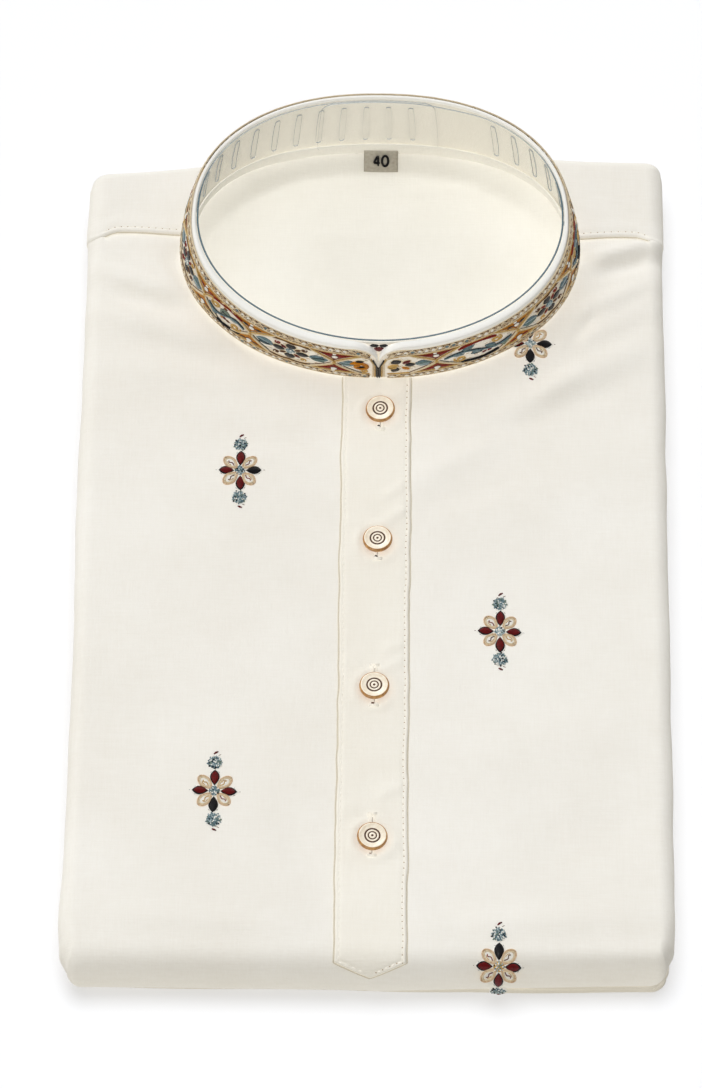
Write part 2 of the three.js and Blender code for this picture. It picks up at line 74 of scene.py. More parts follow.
# The standing collar: an egg-shaped ring. half is half the width, front and back are the reaches
# from the middle y, and full swells the back.
BASE = {"half": 78.4, "y": 132, "front": 59.3, "back": 51, "full": 2.35}
TOP = {"half": 73, "y": 125, "front": 57.5, "back": 57, "full": 2.25}
TOP_Z_FRONT = 57
TOP_Z_BACK = 61.5
COLLAR_BOW = 0.6
END_GAP = 0.35
END_ROUND = 9.5
END_FALL = 10
NECK_INSET = 3.6
NECK_FLOOR = TOP_Z + 1.2 - 5
FLOOR_RISE = 4.6

# Ridges (+) and troughs (-) of the cloth. The broad ones are in the solids too.
# Each runs from (x0, y0) to (x1, y1), with its half width and its height.
BROAD_FOLDS = [
    (46, 58, 112, 92, 15, 0.9),
    (76, 94, 112, 116, 12, -0.6),
    (34, 38, 108, 64, 14, -0.6),
    (28, 12, 110, 40, 17, 0.6),
    (-58, 90, -110, 108, 13, 0.8),
    (-44, 72, -110, 90, 12, -0.5),
    (-40, -8, -112, -2, 16, 0.6),
    (-104, -146, 98, -152, 14, 0.7),
]
# Fine ones round the collar, beside the placket and along the hem end
FINE_FOLDS = [
    (83, 129, 112, 139, 3.2, 0.75),
    (84, 121, 112, 132, 3.6, -0.5),
    (80, 103, 109, 122, 4.2, 0.5),
    (74, 88, 110, 111, 4.8, 0.4),
    (56, 62, 108, 92, 6.0, 0.42),
    (48, 50, 104, 76, 5.5, -0.25),
    (16, 28, 52, 48, 5.0, 0.28),
    (18, 16, 60, 30, 6.0, -0.22),
    (-78, 111, -108, 124, 4.0, 0.6),
    (-74, 103, -106, 114, 3.6, -0.5),
    (-64, 88, -106, 103, 4.8, 0.58),
    (-64, 105, -90, 127, 2.6, 0.3),
    (-46, 70, -108, 80, 7.0, 0.42),
    (-20, 44, -70, 50, 7.0, -0.28),
    (80, 98, 112, 116, 11, 0.08),
    (-75, 126, -79, 133, 2.4, -0.45),
    (78, 132, 86, 126, 2.6, -0.4),
    (-83, 132, -75, 115, 2.2, -0.3),
    (-75, 116, -61, 99, 2.0, -0.36),
    (-62, 100, -48, 85, 2.2, -0.34),
    (-50, 86, -33, 76, 2.6, -0.22),
    (87, 106, 75, 87, 2.4, -0.36),
    (89, 126, 108, 130, 3.0, -0.3),
    (87, 116, 110, 124, 3.4, -0.22),
    (64, 66, 82, 78, 3.6, 0.24),
    (30, -92, 104, -80, 13, 0.3),
    (-100, -70, -34, -82, 14, -0.3),
    (60, -130, 108, -118, 12, -0.3),
    (-98, -158, -30, -163, 6.0, 0.3),
    (24, -162, 100, -157, 6.5, 0.35),
    (-14, -150, -34, -118, 7.0, -0.28),
    (17, -140, 40, -166, 6.0, -0.25),
]
FINE_FOLD_GAIN = 3.0  # how many times deeper than listed the fine ones are made

# Pulls in the placket beside its buttons
PLACKET_FOLDS = [
    (3, 19, 13, 26, 2.0, 0.35),
    (3, 8, 14, 15, 2.2, 0.45),
    (-4, 6, -12, 10, 2.2, 0.25),
    (4, -48, 13, -44, 2.4, 0.35),
    (4, -57, 13, -51, 2.0, 0.3),
    (-4, -55, -12, -50, 2.4, 0.25),
    (3, -110, 13, -104, 2.6, 0.35),
    (-4, -116, -12, -113, 2.4, 0.25),
    (4, -134, 13, -128, 2.4, 0.3),
    (4, 62, 13, 68, 2.4, 0.25),
]

BUTTON_PLACES = [(2.4, 57.5), (1.9, -0.6), (1.3, -64.2), (1.1, -127.4)]
BUTTON_LIFT = 1.35  # of a button's back over the front


# Small helpers


def clamp01(t):
    return min(1.0, max(0.0, t))


def smooth(a, b, v):
    t = clamp01((v - a) / (b - a))
    return t * t * (3 - 2 * t)


def mix(a, b, t):
    return a + (b - a) * t


def bell(v, width):
    """1 where v is 0, and next to nothing at twice the width."""
    return math.exp(-((v / width) ** 2))


def wander(x, y, z):
    """Smooth noise between -1 and 1."""
    return noise.noise(Vector((x, y, z)))


def turned(x, y, turn, u, v):
    """The place that lies u along and v across a direction from (x, y)."""
    c, s = math.cos(turn), math.sin(turn)
    return x + u * c - v * s, y + u * s + v * c


def between(a, b, count):
    """count + 1 even steps from a to b."""
    return [mix(a, b, i / count) for i in range(count + 1)]


def stations(start, stop, step, fine=0.9, reach=9.0, ends=(True, True)):
    """Places from start to stop, closer together near the named ends."""
    low = start + reach if ends[0] else start
    high = stop - reach if ends[1] else stop
    count = round((high - low) / step)
    near = round(reach / fine)
    places = between(start, low, near)[:-1] if ends[0] else []
    places += between(low, high, count)
    places += between(high, stop, near)[1:] if ends[1] else []
    return places


# The cloth's surface


def fold_sum(folds, x, y):
    """Height that a table of ridges and troughs adds at a place."""
    total = 0.0
    for x0, y0, x1, y1, width, height in folds:
        dx, dy = x1 - x0, y1 - y0
        length = math.hypot(dx, dy)
        along = ((x - x0) * dx + (y - y0) * dy) / length / length
        if not -0.25 < along < 1.25:
            continue
        across = ((x - x0) * dy - (y - y0) * dx) / length
        taper = smooth(-0.25, 0.3, along) * (1 - smooth(0.6, 1.25, along))
        total += height * taper * bell(across, width)
    return total


def outside_collar(x, y):
    """1 at the collar's foot, and more outside it."""
    reach = BASE["front"] if y < BASE["y"] else BASE["back"]
    return math.hypot((x - COLLAR_X) / BASE["half"], (y - BASE["y"]) / reach)


def smooth_height(x, y):
    """Height of the upper face with its broad folds alone."""
    crown = CROWN * (1 - (x / HALF_WIDTH) ** 2) * (1 - ((y + 20) / 230) ** 2)
    neck_rise = 1.3 * (1 - smooth(1, 1.35, outside_collar(x, y)))
    return TOP_Z + crown + neck_rise + fold_sum(BROAD_FOLDS, x, y)


def ripple(x, y):
    """Uneven, hardly visible waves that any pressed cotton keeps."""
    return 0.22 * wander(x / 34, y / 26, 3.1) + 0.06 * wander(x / 11, y / 9, 7.7)


def panel_height(x, y):
    return smooth_height(x, y) + FINE_FOLD_GAIN * fold_sum(FINE_FOLDS, x, y) + ripple(x, y)


def shoulder_shift(x):
    side = x / HALF_WIDTH
    bulge = BULGE_OUT * bell(x - COLLAR_X, BULGE_REACH)
    return TOP_SKEW * side + TOP_BOW * (1 - side * side) + bulge


def cloth_height(x, y, height=smooth_height):
    """Height of the upper face with the shoulder fold rounding down behind."""
    past = clamp01((y - (SHOULDER_Y + shoulder_shift(x))) / SHOULDER_ROLL)
    return height(x, y) - UPPER_ROLL * (1 - math.sqrt(1 - past * past))


def seam_y(x):
    """Where the yoke seam runs, bent a little near the sides."""
    side = abs(x) / HALF_WIDTH
    return SEAM_Y + 2.2 * smooth(0.65, 0.88, side) - 4.2 * smooth(0.9, 1, side)


def on_panel(x, y, lift=0.0):
    """A point on the front, or out from it by lift. Past the hem end's roll, y runs on round it."""
    if y >= ROLL_Y:
        return (x, y, panel_height(x, y) + lift)
    top = panel_height(x, ROLL_Y)
    down = top / 2
    angle = (ROLL_Y - y) / END_ROLL
    across = (END_ROLL + lift) * math.sin(angle)
    return (x, ROLL_Y - across, top - down + (down + lift) * math.cos(angle))


# The collar's surface


def egg_point(egg, angle, inset=0.0):
    c, s = math.cos(angle), math.sin(angle)
    reach = (egg["front"] if c > 0 else egg["back"]) - inset
    power = 1 if c > 0 else 2 / egg["full"]
    x = COLLAR_X + (egg["half"] - inset) * math.copysign(abs(s) ** power, s)
    return x, egg["y"] - reach * math.copysign(abs(c) ** power, c)


def egg_measure(x, y, inset):
    """1 on the neck line at that inset, less inside it."""
    ahead = y < BASE["y"]
    reach = (BASE["front"] if ahead else BASE["back"]) - inset
    power = 2 if ahead else BASE["full"]
    a = abs((x - COLLAR_X) / (BASE["half"] - inset)) ** power
    b = abs((y - BASE["y"]) / reach) ** power
    return (a + b) ** (1 / power)


def on_collar(angle, share, inset):
    """A point of the collar: angle round it (0 in front), share of its height, inset from its face."""
    bx, by = egg_point(BASE, angle, inset)
    tx, ty = egg_point(TOP, angle, inset)
    foot = egg_point(BASE, angle, min(inset, NECK_INSET))
    behind = (1 - math.cos(angle)) / 2
    z0 = cloth_height(*foot) + (2 + behind) * GAP
    z1 = mix(TOP_Z_FRONT, TOP_Z_BACK, behind)
    x, y = mix(bx, tx, share), mix(by, ty, share)
    out = (x - COLLAR_X, y - BASE["y"])
    bow = COLLAR_BOW * math.sin(math.pi * clamp01(share)) / math.hypot(*out)
    return (x + out[0] * bow, y + out[1] * bow, mix(z0, z1, share))


def front_angle(distance):
    """The angle round the collar at a distance from the middle of its front."""
    return math.asin(distance / TOP["half"])


def end_drop(angle):
    """How far the rounded ends cut the collar's top down."""
    away = abs(math.sin(angle)) * TOP["half"] - END_GAP
    if math.cos(angle) < 0 or away >= END_ROUND:
        return 0.0
    return END_FALL * (1 - math.sqrt(1 - (1 - max(0.0, away) / END_ROUND) ** 2))


class CollarRuler:
    """Turns millimetres along the collar, from the middle of its front, into an angle round it."""

    def __init__(self, share=0.5, steps=720):
        self.marks = [0.0]
        self.step = TURN / steps
        last = Vector(on_collar(0, share, 0))
        for i in range(1, steps + 1):
            point = Vector(on_collar(i * self.step, share, 0))
            self.marks.append(self.marks[-1] + (point - last).length)
            last = point
        self.length = self.marks[-1]

    def angle(self, along):
        along %= self.length
        low, high = 0, len(self.marks) - 1
        while high - low > 1:
            middle = (low + high) // 2
            if self.marks[middle] <= along:
                low = middle
            else:
                high = middle
        part = (along - self.marks[low]) / (self.marks[high] - self.marks[low])
        return (low + part) * self.step


ruler = CollarRuler()
RING = ruler.length  # all the way round the collar
BAND_HEIGHT = 34.0


def collar_point(angle, share, inset, drop=0.0):
    """A point of the collar, lowered by drop and where the rounded ends cut its top down."""
    x, y, z = on_collar(angle, share, inset)
    return (x, y, z - drop - end_drop(angle) * smooth(0.25, 1, share))


def on_band(along, up, lift):
    """A point of the embroidery: millimetres along the collar, up it, and out from its face."""
    return collar_point(ruler.angle(along), up / BAND_HEIGHT, -lift)


# Meshes


def linked(name, data):
    """An object of the scene for a mesh, a light or a camera."""
    obj = bpy.data.objects.new(name, data)
    bpy.context.scene.collection.objects.link(obj)
    return obj


def new_object(name, points, faces, materials, face_slots=None, marks=None):
    """A smooth mesh object from points in millimetres."""
    mesh = bpy.data.meshes.new(name)
    mesh.from_pydata([[c * MM for c in p] for p in points], [], faces)
    for material in materials:
        mesh.materials.append(material)
    mesh.polygons.foreach_set("use_smooth", [True] * len(faces))
    if face_slots:
        mesh.polygons.foreach_set("material_index", face_slots)
    if marks:
        layer = mesh.attributes.new("stitch", "FLOAT_VECTOR", "POINT")
        layer.data.foreach_set("vector", [c for mark in marks for c in mark])
    mesh.update()
    return linked(name, mesh)


def settle(obj, slot, *nodes):
    """Rides the body and stands for its solids. The slot is not used."""
    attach(obj, "root")
    if nodes:
        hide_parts(*nodes)
    return obj


def plain_piece(name, points, faces, material, slot, *nodes, thickness=0.0):
    """A piece of one material. A thickness makes an open sheet a shell, inward from its face."""
    obj = new_object(name, points, faces, [material])
    if thickness:
        shell = obj.modifiers.new("thickness", "SOLIDIFY")
        shell.thickness = thickness * MM
    return settle(obj, slot, *nodes)


def face_inwards(obj, middle):
    """Joins doubled points, and turns every face of an open ring towards its middle."""
    mesh = bmesh.new()
    mesh.from_mesh(obj.data)
    bmesh.ops.remove_doubles(mesh, verts=mesh.verts, dist=0.02 * MM)
    bmesh.ops.recalc_face_normals(mesh, faces=mesh.faces)
    outward = sum((f.calc_center_median() - middle).dot(f.normal) * f.calc_area() for f in mesh.faces)
    if outward > 0:
        bmesh.ops.reverse_faces(mesh, faces=mesh.faces)
    mesh.to_mesh(obj.data)
    mesh.free()


def turn_rims(obj, width, slot):
    """Gives every open edge of a one-face-thick film a rim of the plastic's thickness."""
    mesh = bmesh.new()
    mesh.from_mesh(obj.data)
    normals = {v: v.normal.copy() for v in mesh.verts}
    edges = [e for e in mesh.edges if e.is_boundary]
    old = {v.co.to_tuple(7): normals[v] for e in edges for v in e.verts}
    made = bmesh.ops.extrude_edge_only(mesh, edges=edges)["geom"]
    for part in made:
        if isinstance(part, bmesh.types.BMVert):
            part.co += old[part.co.to_tuple(7)] * width * MM
        elif isinstance(part, bmesh.types.BMFace):
            part.material_index = slot
    mesh.to_mesh(obj.data)
    mesh.free()


def grid_faces(rows, columns, start=0, closed=False):
    """Faces between rows of equal length, stored one after the other."""
    faces = []
    for i in range(rows - 1):
        for j in range(columns if closed else columns - 1):
            a = start + i * columns + j
            b = start + i * columns + (j + 1) % columns
            faces.append((a, b, b + columns, a + columns))
    return faces


def end_caps(total, count):
    """Faces over the first and the last ring of count points."""
    return [tuple(range(count))[::-1], tuple(range(total - count, total))]


def fan(start, count, tip):
    """Faces from a ring of points to one point."""
    return [(start + k, start + (k + 1) % count, tip) for k in range(count)]


def turned_over(faces):
    """Four-cornered faces seen from their other side, with the same first corner."""
    return [(a, d, c, b) for a, b, c, d in faces]


def sweep(sections):
    """A closed section carried along a path, with both ends closed."""
    count = len(sections[0])
    points = [p for section in sections for p in section]
    return points, grid_faces(len(sections), count, closed=True) + end_caps(len(points), count)


class Pile:
    """Many small stitched shapes in one mesh. place turns (a, b, lift) into a point of the object."""

    def __init__(self, name, place, threads):
        self.name = name
        self.place = place
        self.threads = threads
        self.points, self.marks, self.faces, self.slots = [], [], [], []

    def add(self, points, marks, faces, thread):
        start = len(self.points)
        self.points += [self.place(*p) for p in points]
        self.marks += marks
        self.faces += [tuple(start + i for i in face) for face in faces]
        self.slots += [self.threads.index(thread)] * len(faces)

    def dome(self, outline, rise, thread, grain=0.0, base=0.0, rings=(1.0, 0.93, 0.75, 0.4)):
        """A raised patch over an outline. grain is the direction that its threads cross."""
        count = len(outline)
        ca = sum(p[0] for p in outline) / count
        cb = sum(p[1] for p in outline) / count
        points, faces = [], []
        for k in rings:
            lift = base - 0.12 if k == 1 else base + rise * math.sqrt(1 - k * k)
            points += [(mix(ca, a, k), mix(cb, b, k), lift) for a, b in outline]
        points.append((ca, cb, base + rise))
        faces += grid_faces(len(rings), count, closed=True)
        faces += fan(count * (len(rings) - 1), count, len(points) - 1)
        c, s = math.cos(grain), math.sin(grain)
        marks = [(a * c + b * s, b * c - a * s, 0.0) for a, b, _ in points]
        self.add(points, marks, faces, thread)

    def cord(self, path, radius, thread, base=0.0, sides=7, closed=False, twist=1.0):
        """A cord laid along a path of (a, b) points."""
        points, marks = [], []
        count = len(path)
        length = 0.0
        for i, (a, b) in enumerate(path):
            before = path[(i - 1) % count] if closed or i else path[0]
            after = path[(i + 1) % count] if closed or i < count - 1 else path[-1]
            ta, tb = after[0] - before[0], after[1] - before[1]
            size = math.hypot(ta, tb) or 1.0
            na, nb = -tb / size, ta / size
            length += math.hypot(a - path[i - 1][0], b - path[i - 1][1]) if i else 0.0
            end = 0.55 if not closed and i in (0, count - 1) else 1.0
            for k in range(sides):
                turn = TURN * k / sides
                out, up = radius * end * math.cos(turn), radius * end * math.sin(turn)
                points.append((a + na * out, b + nb * out, base + radius * 0.55 + up))
                marks.append((length * twist + radius * 2.2 * turn / TURN, 0.0, 1.0))
        faces = grid_faces(count, sides, closed=True)
        if closed:
            last = (count - 1) * sides
            faces += [(last + k, last + (k + 1) % sides, (k + 1) % sides, k) for k in range(sides)]
        else:
            faces += end_caps(len(points), sides)
        self.add(points, marks, faces, thread)

    def bead(self, a, b, along, across, rise, thread, turn=0.0, sides=10, base=0.0):
        outline = ellipse(a, b, along, across, turn, sides)
        self.dome(outline, rise, thread, turn, base, rings=(1.0, 0.85, 0.5))

    def keep(self, wanted):
        """Keeps only the faces whose first point is wanted."""
        kept = [i for i, face in enumerate(self.faces) if wanted(*self.points[face[0]])]
        self.faces = [self.faces[i] for i in kept]
        self.slots = [self.slots[i] for i in kept]

    def build(self, slot, *nodes):
        obj = new_object(self.name, self.points, self.faces, [THREAD[t] for t in self.threads],
                         self.slots, self.marks)
        return settle(obj, slot, *nodes)


def ellipse(a, b, along, across, turn=0.0, sides=16):
    angles = [TURN * k / sides for k in range(sides)]
    return [turned(a, b, turn, along * math.cos(t), across * math.sin(t)) for t in angles]


def almond(a, b, turn, inner, outer, half, steps=9, belly=0.5):
    """A pointed petal that runs from inner to outer, away from (a, b)."""
    side = []
    for t in between(0, 1, steps):
        width = half * math.sin(math.pi * t ** (math.log(0.5) / math.log(belly))) ** 0.8
        side.append((mix(inner, outer, t), width))
    outline = side[:-1] + [(u, -v) for u, v in reversed(side[1:])]
    return [turned(a, b, turn, u, v) for u, v in outline]


def curve(points, steps=8):
    """A smooth path through a few points."""
    path = []
    ends = [points[0], *points, points[-1]]
    for i in range(len(points) - 1):
        p0, p1, p2, p3 = ends[i:i + 4]
        for k in range(steps):
            t = k / steps
            path.append(tuple(
                0.5 * (2 * p1[n] + (p2[n] - p0[n]) * t
                       + (2 * p0[n] - 5 * p1[n] + 4 * p2[n] - p3[n]) * t * t
                       + (3 * p1[n] - p0[n] - 3 * p2[n] + p3[n]) * t**3)
                for n in (0, 1)))
    path.append(points[-1])
    return path


# Materials


def add_node(tree, kind, inputs=None, **settings):
    """A shader node with its settings, its input values, and its links from other nodes' outputs."""
    made = tree.nodes.new(kind)
    for key, value in settings.items():
        setattr(made, key, value)
    for key, value in (inputs or {}).items():
        if isinstance(value, bpy.types.NodeSocket):
            tree.links.new(value, made.inputs[key])
        else:
            made.inputs[key].default_value = value
    return made


def srgb(red, green, blue):
    """A colour as a screen shows it, 0 to 255, as the renderer's linear one."""
    def linear(value):
        value /= 255
        return value / 12.92 if value <= 0.04045 else ((value + 0.055) / 1.055) ** 2.4
    return (linear(red), linear(green), linear(blue), 1.0)


def new_material(name, inputs):
    """A material, its node tree and its main shader with the named inputs set."""
    material = bpy.data.materials.new(name)
    material.use_nodes = True
    tree = material.node_tree
    principled = tree.nodes["Principled BSDF"]
    for key, value in inputs.items():
        principled.inputs[key].default_value = value
    return material, tree, principled


def object_place(tree, scale=(1, 1, 1)):
    place = add_node(tree, "ShaderNodeTexCoord").outputs["Object"]
    return add_node(tree, "ShaderNodeMapping", {"Vector": place, "Scale": scale}).outputs[0]


def noise_value(tree, vector, scale, detail=3.0, rough=0.5):
    inputs = {"Vector": vector, "Scale": scale, "Detail": detail, "Roughness": rough}
    return add_node(tree, "ShaderNodeTexNoise", inputs).outputs["Fac"]


def stripes(tree, vector, axis, scale, **inputs):
    """Soft lines that follow one another along an axis."""
    more = {key.replace("_", " ").title(): value for key, value in inputs.items()}
    return add_node(tree, "ShaderNodeTexWave", {"Vector": vector, "Scale": scale, **more},
                    bands_direction=axis).outputs["Fac"]


def ramp(tree, value, *stops):
    """A colour ramp over (position, colour) stops."""
    made = add_node(tree, "ShaderNodeValToRGB", {"Fac": value})
    elements = made.color_ramp.elements
    while len(elements) < len(stops):
        elements.new(0.5)
    for element, (position, colour) in zip(elements, stops):
        element.position = position
        element.color = colour
    return made.outputs["Color"]


def combine(tree, operation, a, b):
    made = add_node(tree, "ShaderNodeMath", operation=operation)
    for socket, value in zip(made.inputs, (a, b)):
        if isinstance(value, bpy.types.NodeSocket):
            tree.links.new(value, socket)
        else:
            socket.default_value = value
    return made.outputs[0]


def weighted(tree, *pairs):
    """The sum of values, each times its weight."""
    total = None
    for value, weight in pairs:
        part = value if weight == 1 else combine(tree, "MULTIPLY", value, weight)
        total = part if total is None else combine(tree, "ADD", total, part)
    return total


def paint(tree, shader, value, *stops):
    """Colours the shader by a value, over (position, colour) stops."""
    tree.links.new(ramp(tree, value, *stops), shader.inputs["Base Color"])


def bump(tree, shader, height, distance, strength=1.0):
    made = add_node(tree, "ShaderNodeBump",
                    {"Height": height, "Distance": distance * MM, "Strength": strength})
    tree.links.new(made.outputs["Normal"], shader.inputs["Normal"])


WEAVE = 0.46  # one thread over and under, mm


def woven(name, light, dark, sheen=0.25, weave=1.0):
    """Plain woven cotton: threads both ways, slubs in both, and a slightly uneven dye."""
    material, tree, shader = new_material(name, {
        "Roughness": 0.88, "Sheen Weight": sheen, "Sheen Roughness": 0.55, "Specular IOR Level": 0.25})
    place = object_place(tree)
    drift = add_node(tree, "ShaderNodeTexNoise", {"Vector": place, "Scale": 90.0, "Detail": 1.0})
    bent = add_node(tree, "ShaderNodeVectorMath", {0: drift.outputs["Color"], 1: (0.0012,) * 3},
                    operation="MULTIPLY")
    moved = add_node(tree, "ShaderNodeVectorMath", {0: place, 1: bent.outputs[0]}, operation="ADD")
    across, down = [stripes(tree, moved.outputs[0], axis, math.pi / 10 / (WEAVE * MM)) for axis in "XY"]
    threads = combine(tree, "MULTIPLY", across, down)
    slubs = weighted(tree, *[(noise_value(tree, object_place(tree, stretch), 1.0, 2.0), 1)
                             for stretch in ((120, 1900, 400), (1900, 120, 400))])
    mottle = noise_value(tree, place, 420.0, 5.0, 0.62)
    bump(tree, shader, weighted(tree, (threads, 0.5 * weave), (slubs, 0.9), (mottle, 2.2)), 0.08, 0.8)
    tint = weighted(tree, (noise_value(tree, place, 22.0, 3.0), 0.6), (slubs, 0.22))
    paint(tree, shader, tint, (0.3, srgb(*dark)), (0.72, srgb(*light)))
    return material


def thread(name, light, dark, gloss=0.42, relief=0.12):
    """Embroidery thread: lines across each stitched shape, and a soft silky shine."""
    material, tree, shader = new_material(name, {"Roughness": gloss, "Specular IOR Level": 0.22})
    marks = add_node(tree, "ShaderNodeAttribute", attribute_name="stitch").outputs["Vector"]
    wobble = add_node(tree, "ShaderNodeMapping", {"Vector": marks, "Scale": (1, 0.35, 1)}).outputs[0]
    strands = stripes(tree, wobble, "X", 0.85, distortion=1.4, detail_scale=1.6)
    speckle = noise_value(tree, object_place(tree), 1300.0, 2.0)
    bump(tree, shader, weighted(tree, (strands, 1), (speckle, 0.5)), relief)
    tone = weighted(tree, (strands, 0.45), (speckle, 0.6))
    paint(tree, shader, tone, (0.22, srgb(*dark)), (0.78, srgb(*light)))
    return material


CLOTH = woven("ivory_cotton", (248, 246, 240), (238, 234, 225))
PLACKET_CLOTH = woven("placket_cotton", (248, 245, 236), (240, 235, 223))
# A darker copy of the cotton for the inside of the back and the neck binding: painted shade inside the
# collar.
SHADED_INSIDE_CLOTH = woven("shaded_inside_cotton", (243, 241, 234), (233, 230, 221))
# A darker copy of the cotton for the hidden layers under the top one: painted shade.
SHADED_LAYER_CLOTH = woven("shaded_layer_cotton", (234, 229, 217), (222, 216, 202))
LINING_CLOTH = woven("fused_lining", (250, 249, 246), (242, 241, 236), sheen=0.1, weave=0.5)
# A darker copy of the lining for the collar's inner wall: painted shade.
SHADED_LINING_INSIDE = woven("fused_lining_shaded_inside", (237, 234, 225), (226, 222, 212), sheen=0.1, weave=0.5)
GROUND_CLOTH = woven("band_ground", (250, 245, 236), (222, 211, 194), sheen=0.3, weave=1.2)

THREAD_LOOKS = {  # light and dark colour, then gloss and relief where they aren't the usual ones
    "white": ((255, 254, 250), (244, 239, 228)),
    "cream": ((252, 240, 214), (214, 190, 148)),
    "peach": ((252, 234, 202), (190, 138, 90), 0.4),
    "gold": ((240, 204, 122), (146, 94, 38), 0.3),
    "ochre": ((228, 148, 24), (152, 80, 6)),
    "rust": ((158, 40, 20), (72, 10, 6)),
    "garnet": ((132, 4, 8), (22, 0, 3), 0.3),
    "jet": ((18, 17, 24), (3, 3, 6), 0.3),
    "slate": ((134, 162, 170), (40, 64, 78), 0.36),
    "sage": ((146, 162, 146), (66, 90, 82), 0.36),
    "brown": ((120, 76, 42), (50, 27, 13)),
    "tan": ((224, 202, 168), (152, 118, 78)),
    "ice": ((214, 226, 226), (106, 128, 138), 0.3),
    # needle holes: tan dots, painted shade in the holes
    "hole": ((196, 172, 136), (150, 124, 88), 0.9),
    # painted shadow: the dark line at the foot of the placket's edges and under the yoke's edge
    "shade": ((220, 213, 197), (202, 193, 174), 0.9, 0.02),
    "cotton": ((255, 253, 248), (240, 235, 224), 0.8, 0.02),
}
THREAD = {name: thread(f"{name}_thread", *look) for name, look in THREAD_LOOKS.items()}


def clear_plastic(name, colour, alpha):
    """Clear sheet plastic with faint handling marks."""
    base = (*colour, 1.0)
    material, tree, shader = new_material(name, {"Roughness": 0.12, "Base Color": base, "Alpha": alpha})
    marks = noise_value(tree, object_place(tree, (60, 60, 300)), 3.0, 4.0)
    bump(tree, shader, marks, 0.05, 0.4)
    paint(tree, shader, marks, (0.3, base), (0.8, (*[min(1.0, c * 1.06) for c in colour], 1.0)))
    return material


def button_material(name, light, dark, patches, gloss=0.32):
    """Turned button stock with a faint grain and darker patches."""
    material, tree, shader = new_material(name, {"Roughness": gloss})
    grain = noise_value(tree, object_place(tree, (500, 1500, 500)), 1.0, 4.0, 0.6)
    spots = noise_value(tree, object_place(tree), 420.0, 3.0)
    tone = weighted(tree, (grain, 0.5), (spots, patches))
    paint(tree, shader, tone, (0.3, srgb(*light)), (0.75, srgb(*dark)))
    bump(tree, shader, grain, 0.05, 0.5)
    return material


def label_material():
    """Grey woven satin: fine lines across the tag and a low shine."""
    material, tree, shader = new_material("grey_satin", {"Roughness": 0.5, "Sheen Weight": 0.3})
    place = object_place(tree)
    lines = stripes(tree, place, "X", 900.0, distortion=0.6)
    tone = weighted(tree, (lines, 0.35), (noise_value(tree, place, 900.0, 3.0), 0.65))
    paint(tree, shader, tone, (0.25, srgb(146, 139, 125)), (0.75, srgb(186, 180, 166)))
    bump(tree, shader, tone, 0.05, 0.7)
    return material


CLEAR_FACE = clear_plastic("clear_sheet", (0.96, 0.96, 0.93), 0.03)
# The plastic's cut edges and its top edge, tinted dark: painted shade for the dark look of clear plastic
# seen along its edge.
CLEAR_EDGE = clear_plastic("clear_edge", (0.30, 0.35, 0.38), 0.75)
CLEAR_RIM = clear_plastic("clear_rim", (0.10, 0.16, 0.20), 0.9)
LABEL_SATIN = label_material()
BUTTON_LOOKS = [
    button_material("button_face", (253, 246, 231), (231, 212, 182), 0.5),
    button_material("button_rim", (224, 172, 102), (132, 82, 40), 0.6),
    button_material("button_ring", (96, 58, 28), (42, 23, 10), 0.5, gloss=0.7),
]


# Cloth pieces

ROLL_STEPS = 18
ROLL_TURN = {"side": 172, "hem": 168}  # degrees that the cloth turns through round its fold
HEM_NARROW = 0.035  # share of the width that the underside of the hem end's fold loses
SHELL = {"front": 0.55, "yoke": 0.55, "placket": 0.45, "inside": 0.5, "tab": 0.35, "tag": 0.35}
GRID = 1.9  # between two points of the flat cloth
FRONT_TUCK = 0.9  # how deep the front goes down under the yoke's edge
CORNER_SIDE = 0.4  # the part of a corner that its slanting side takes
TURN_IN = 5.0  # the last stretch of each flat edge, which takes half a corner


def corner_curve(t, slant, inward, radius):
    """A corner from its side (t = 0) to its end (t = 1), as distances in from the side and the end.
    The side first slants inward, and a quarter circle follows."""
    if t < CORNER_SIDE:
        return inward * t / CORNER_SIDE, mix(radius + slant, radius, t / CORNER_SIDE)
    angle = (t - CORNER_SIDE) / (1 - CORNER_SIDE) * math.pi / 2
    return inward + radius * (1 - math.cos(angle)), radius * (1 - math.sin(angle))


def outer_edge(x, y):
    """Where the fold beyond a point of the flat part's edge reaches out to, in plan."""
    near_hem, near_top = ROLL_Y + TURN_IN, SHOULDER_Y - TURN_IN
    side = math.copysign(1, x)
    wave = 0.45 * wander(x / 60, y / 17, 1.3) + 0.3 * wander(x / 21, y / 40, 9.1)
    if x < 0:  # the left side stands out a little at its upper half and at its foot
        wave += smooth(-40, 0, y) + smooth(-125, -150, y)
    hem = END_Y + HEM_SKEW * clamp01(x / 100)
    top = TOP_Y - 1.2 - smooth(-40, -100, x) - 0.6 * smooth(60, 110, x)
    on_side = abs(x) > FLAT_X - 0.01
    if on_side and near_hem <= y <= near_top:
        to_hem = (hem + sum(HEM_CORNER[::2]) - near_hem) * smooth(-90, near_hem, y)
        to_top = (top - sum(SHOULDER_CORNER[::2]) - near_top) * smooth(90, near_top, y)
        return side * (HALF_WIDTH + wave), y + to_hem + to_top
    corner, edge_y, flat_y, sign = HEM_CORNER, hem, ROLL_Y, -1
    if y > 0:
        corner, edge_y, flat_y, sign = SHOULDER_CORNER, top, SHOULDER_Y, 1
    if not on_side and abs(x) < FLAT_X - TURN_IN:
        return x * (HALF_WIDTH - corner[1] - corner[2]) / (FLAT_X - TURN_IN), edge_y - sign * wave * 0.5
    if on_side:
        t = 0.5 * (1 - abs(flat_y - y) / TURN_IN)
    else:
        t = 1 - 0.5 * clamp01((abs(x) - FLAT_X + TURN_IN) / TURN_IN)
    dx, dy = corner_curve(t, *corner)
    return side * (HALF_WIDTH - dx + wave * (1 - t)), edge_y - sign * (dy + 0.5 * wave * t)


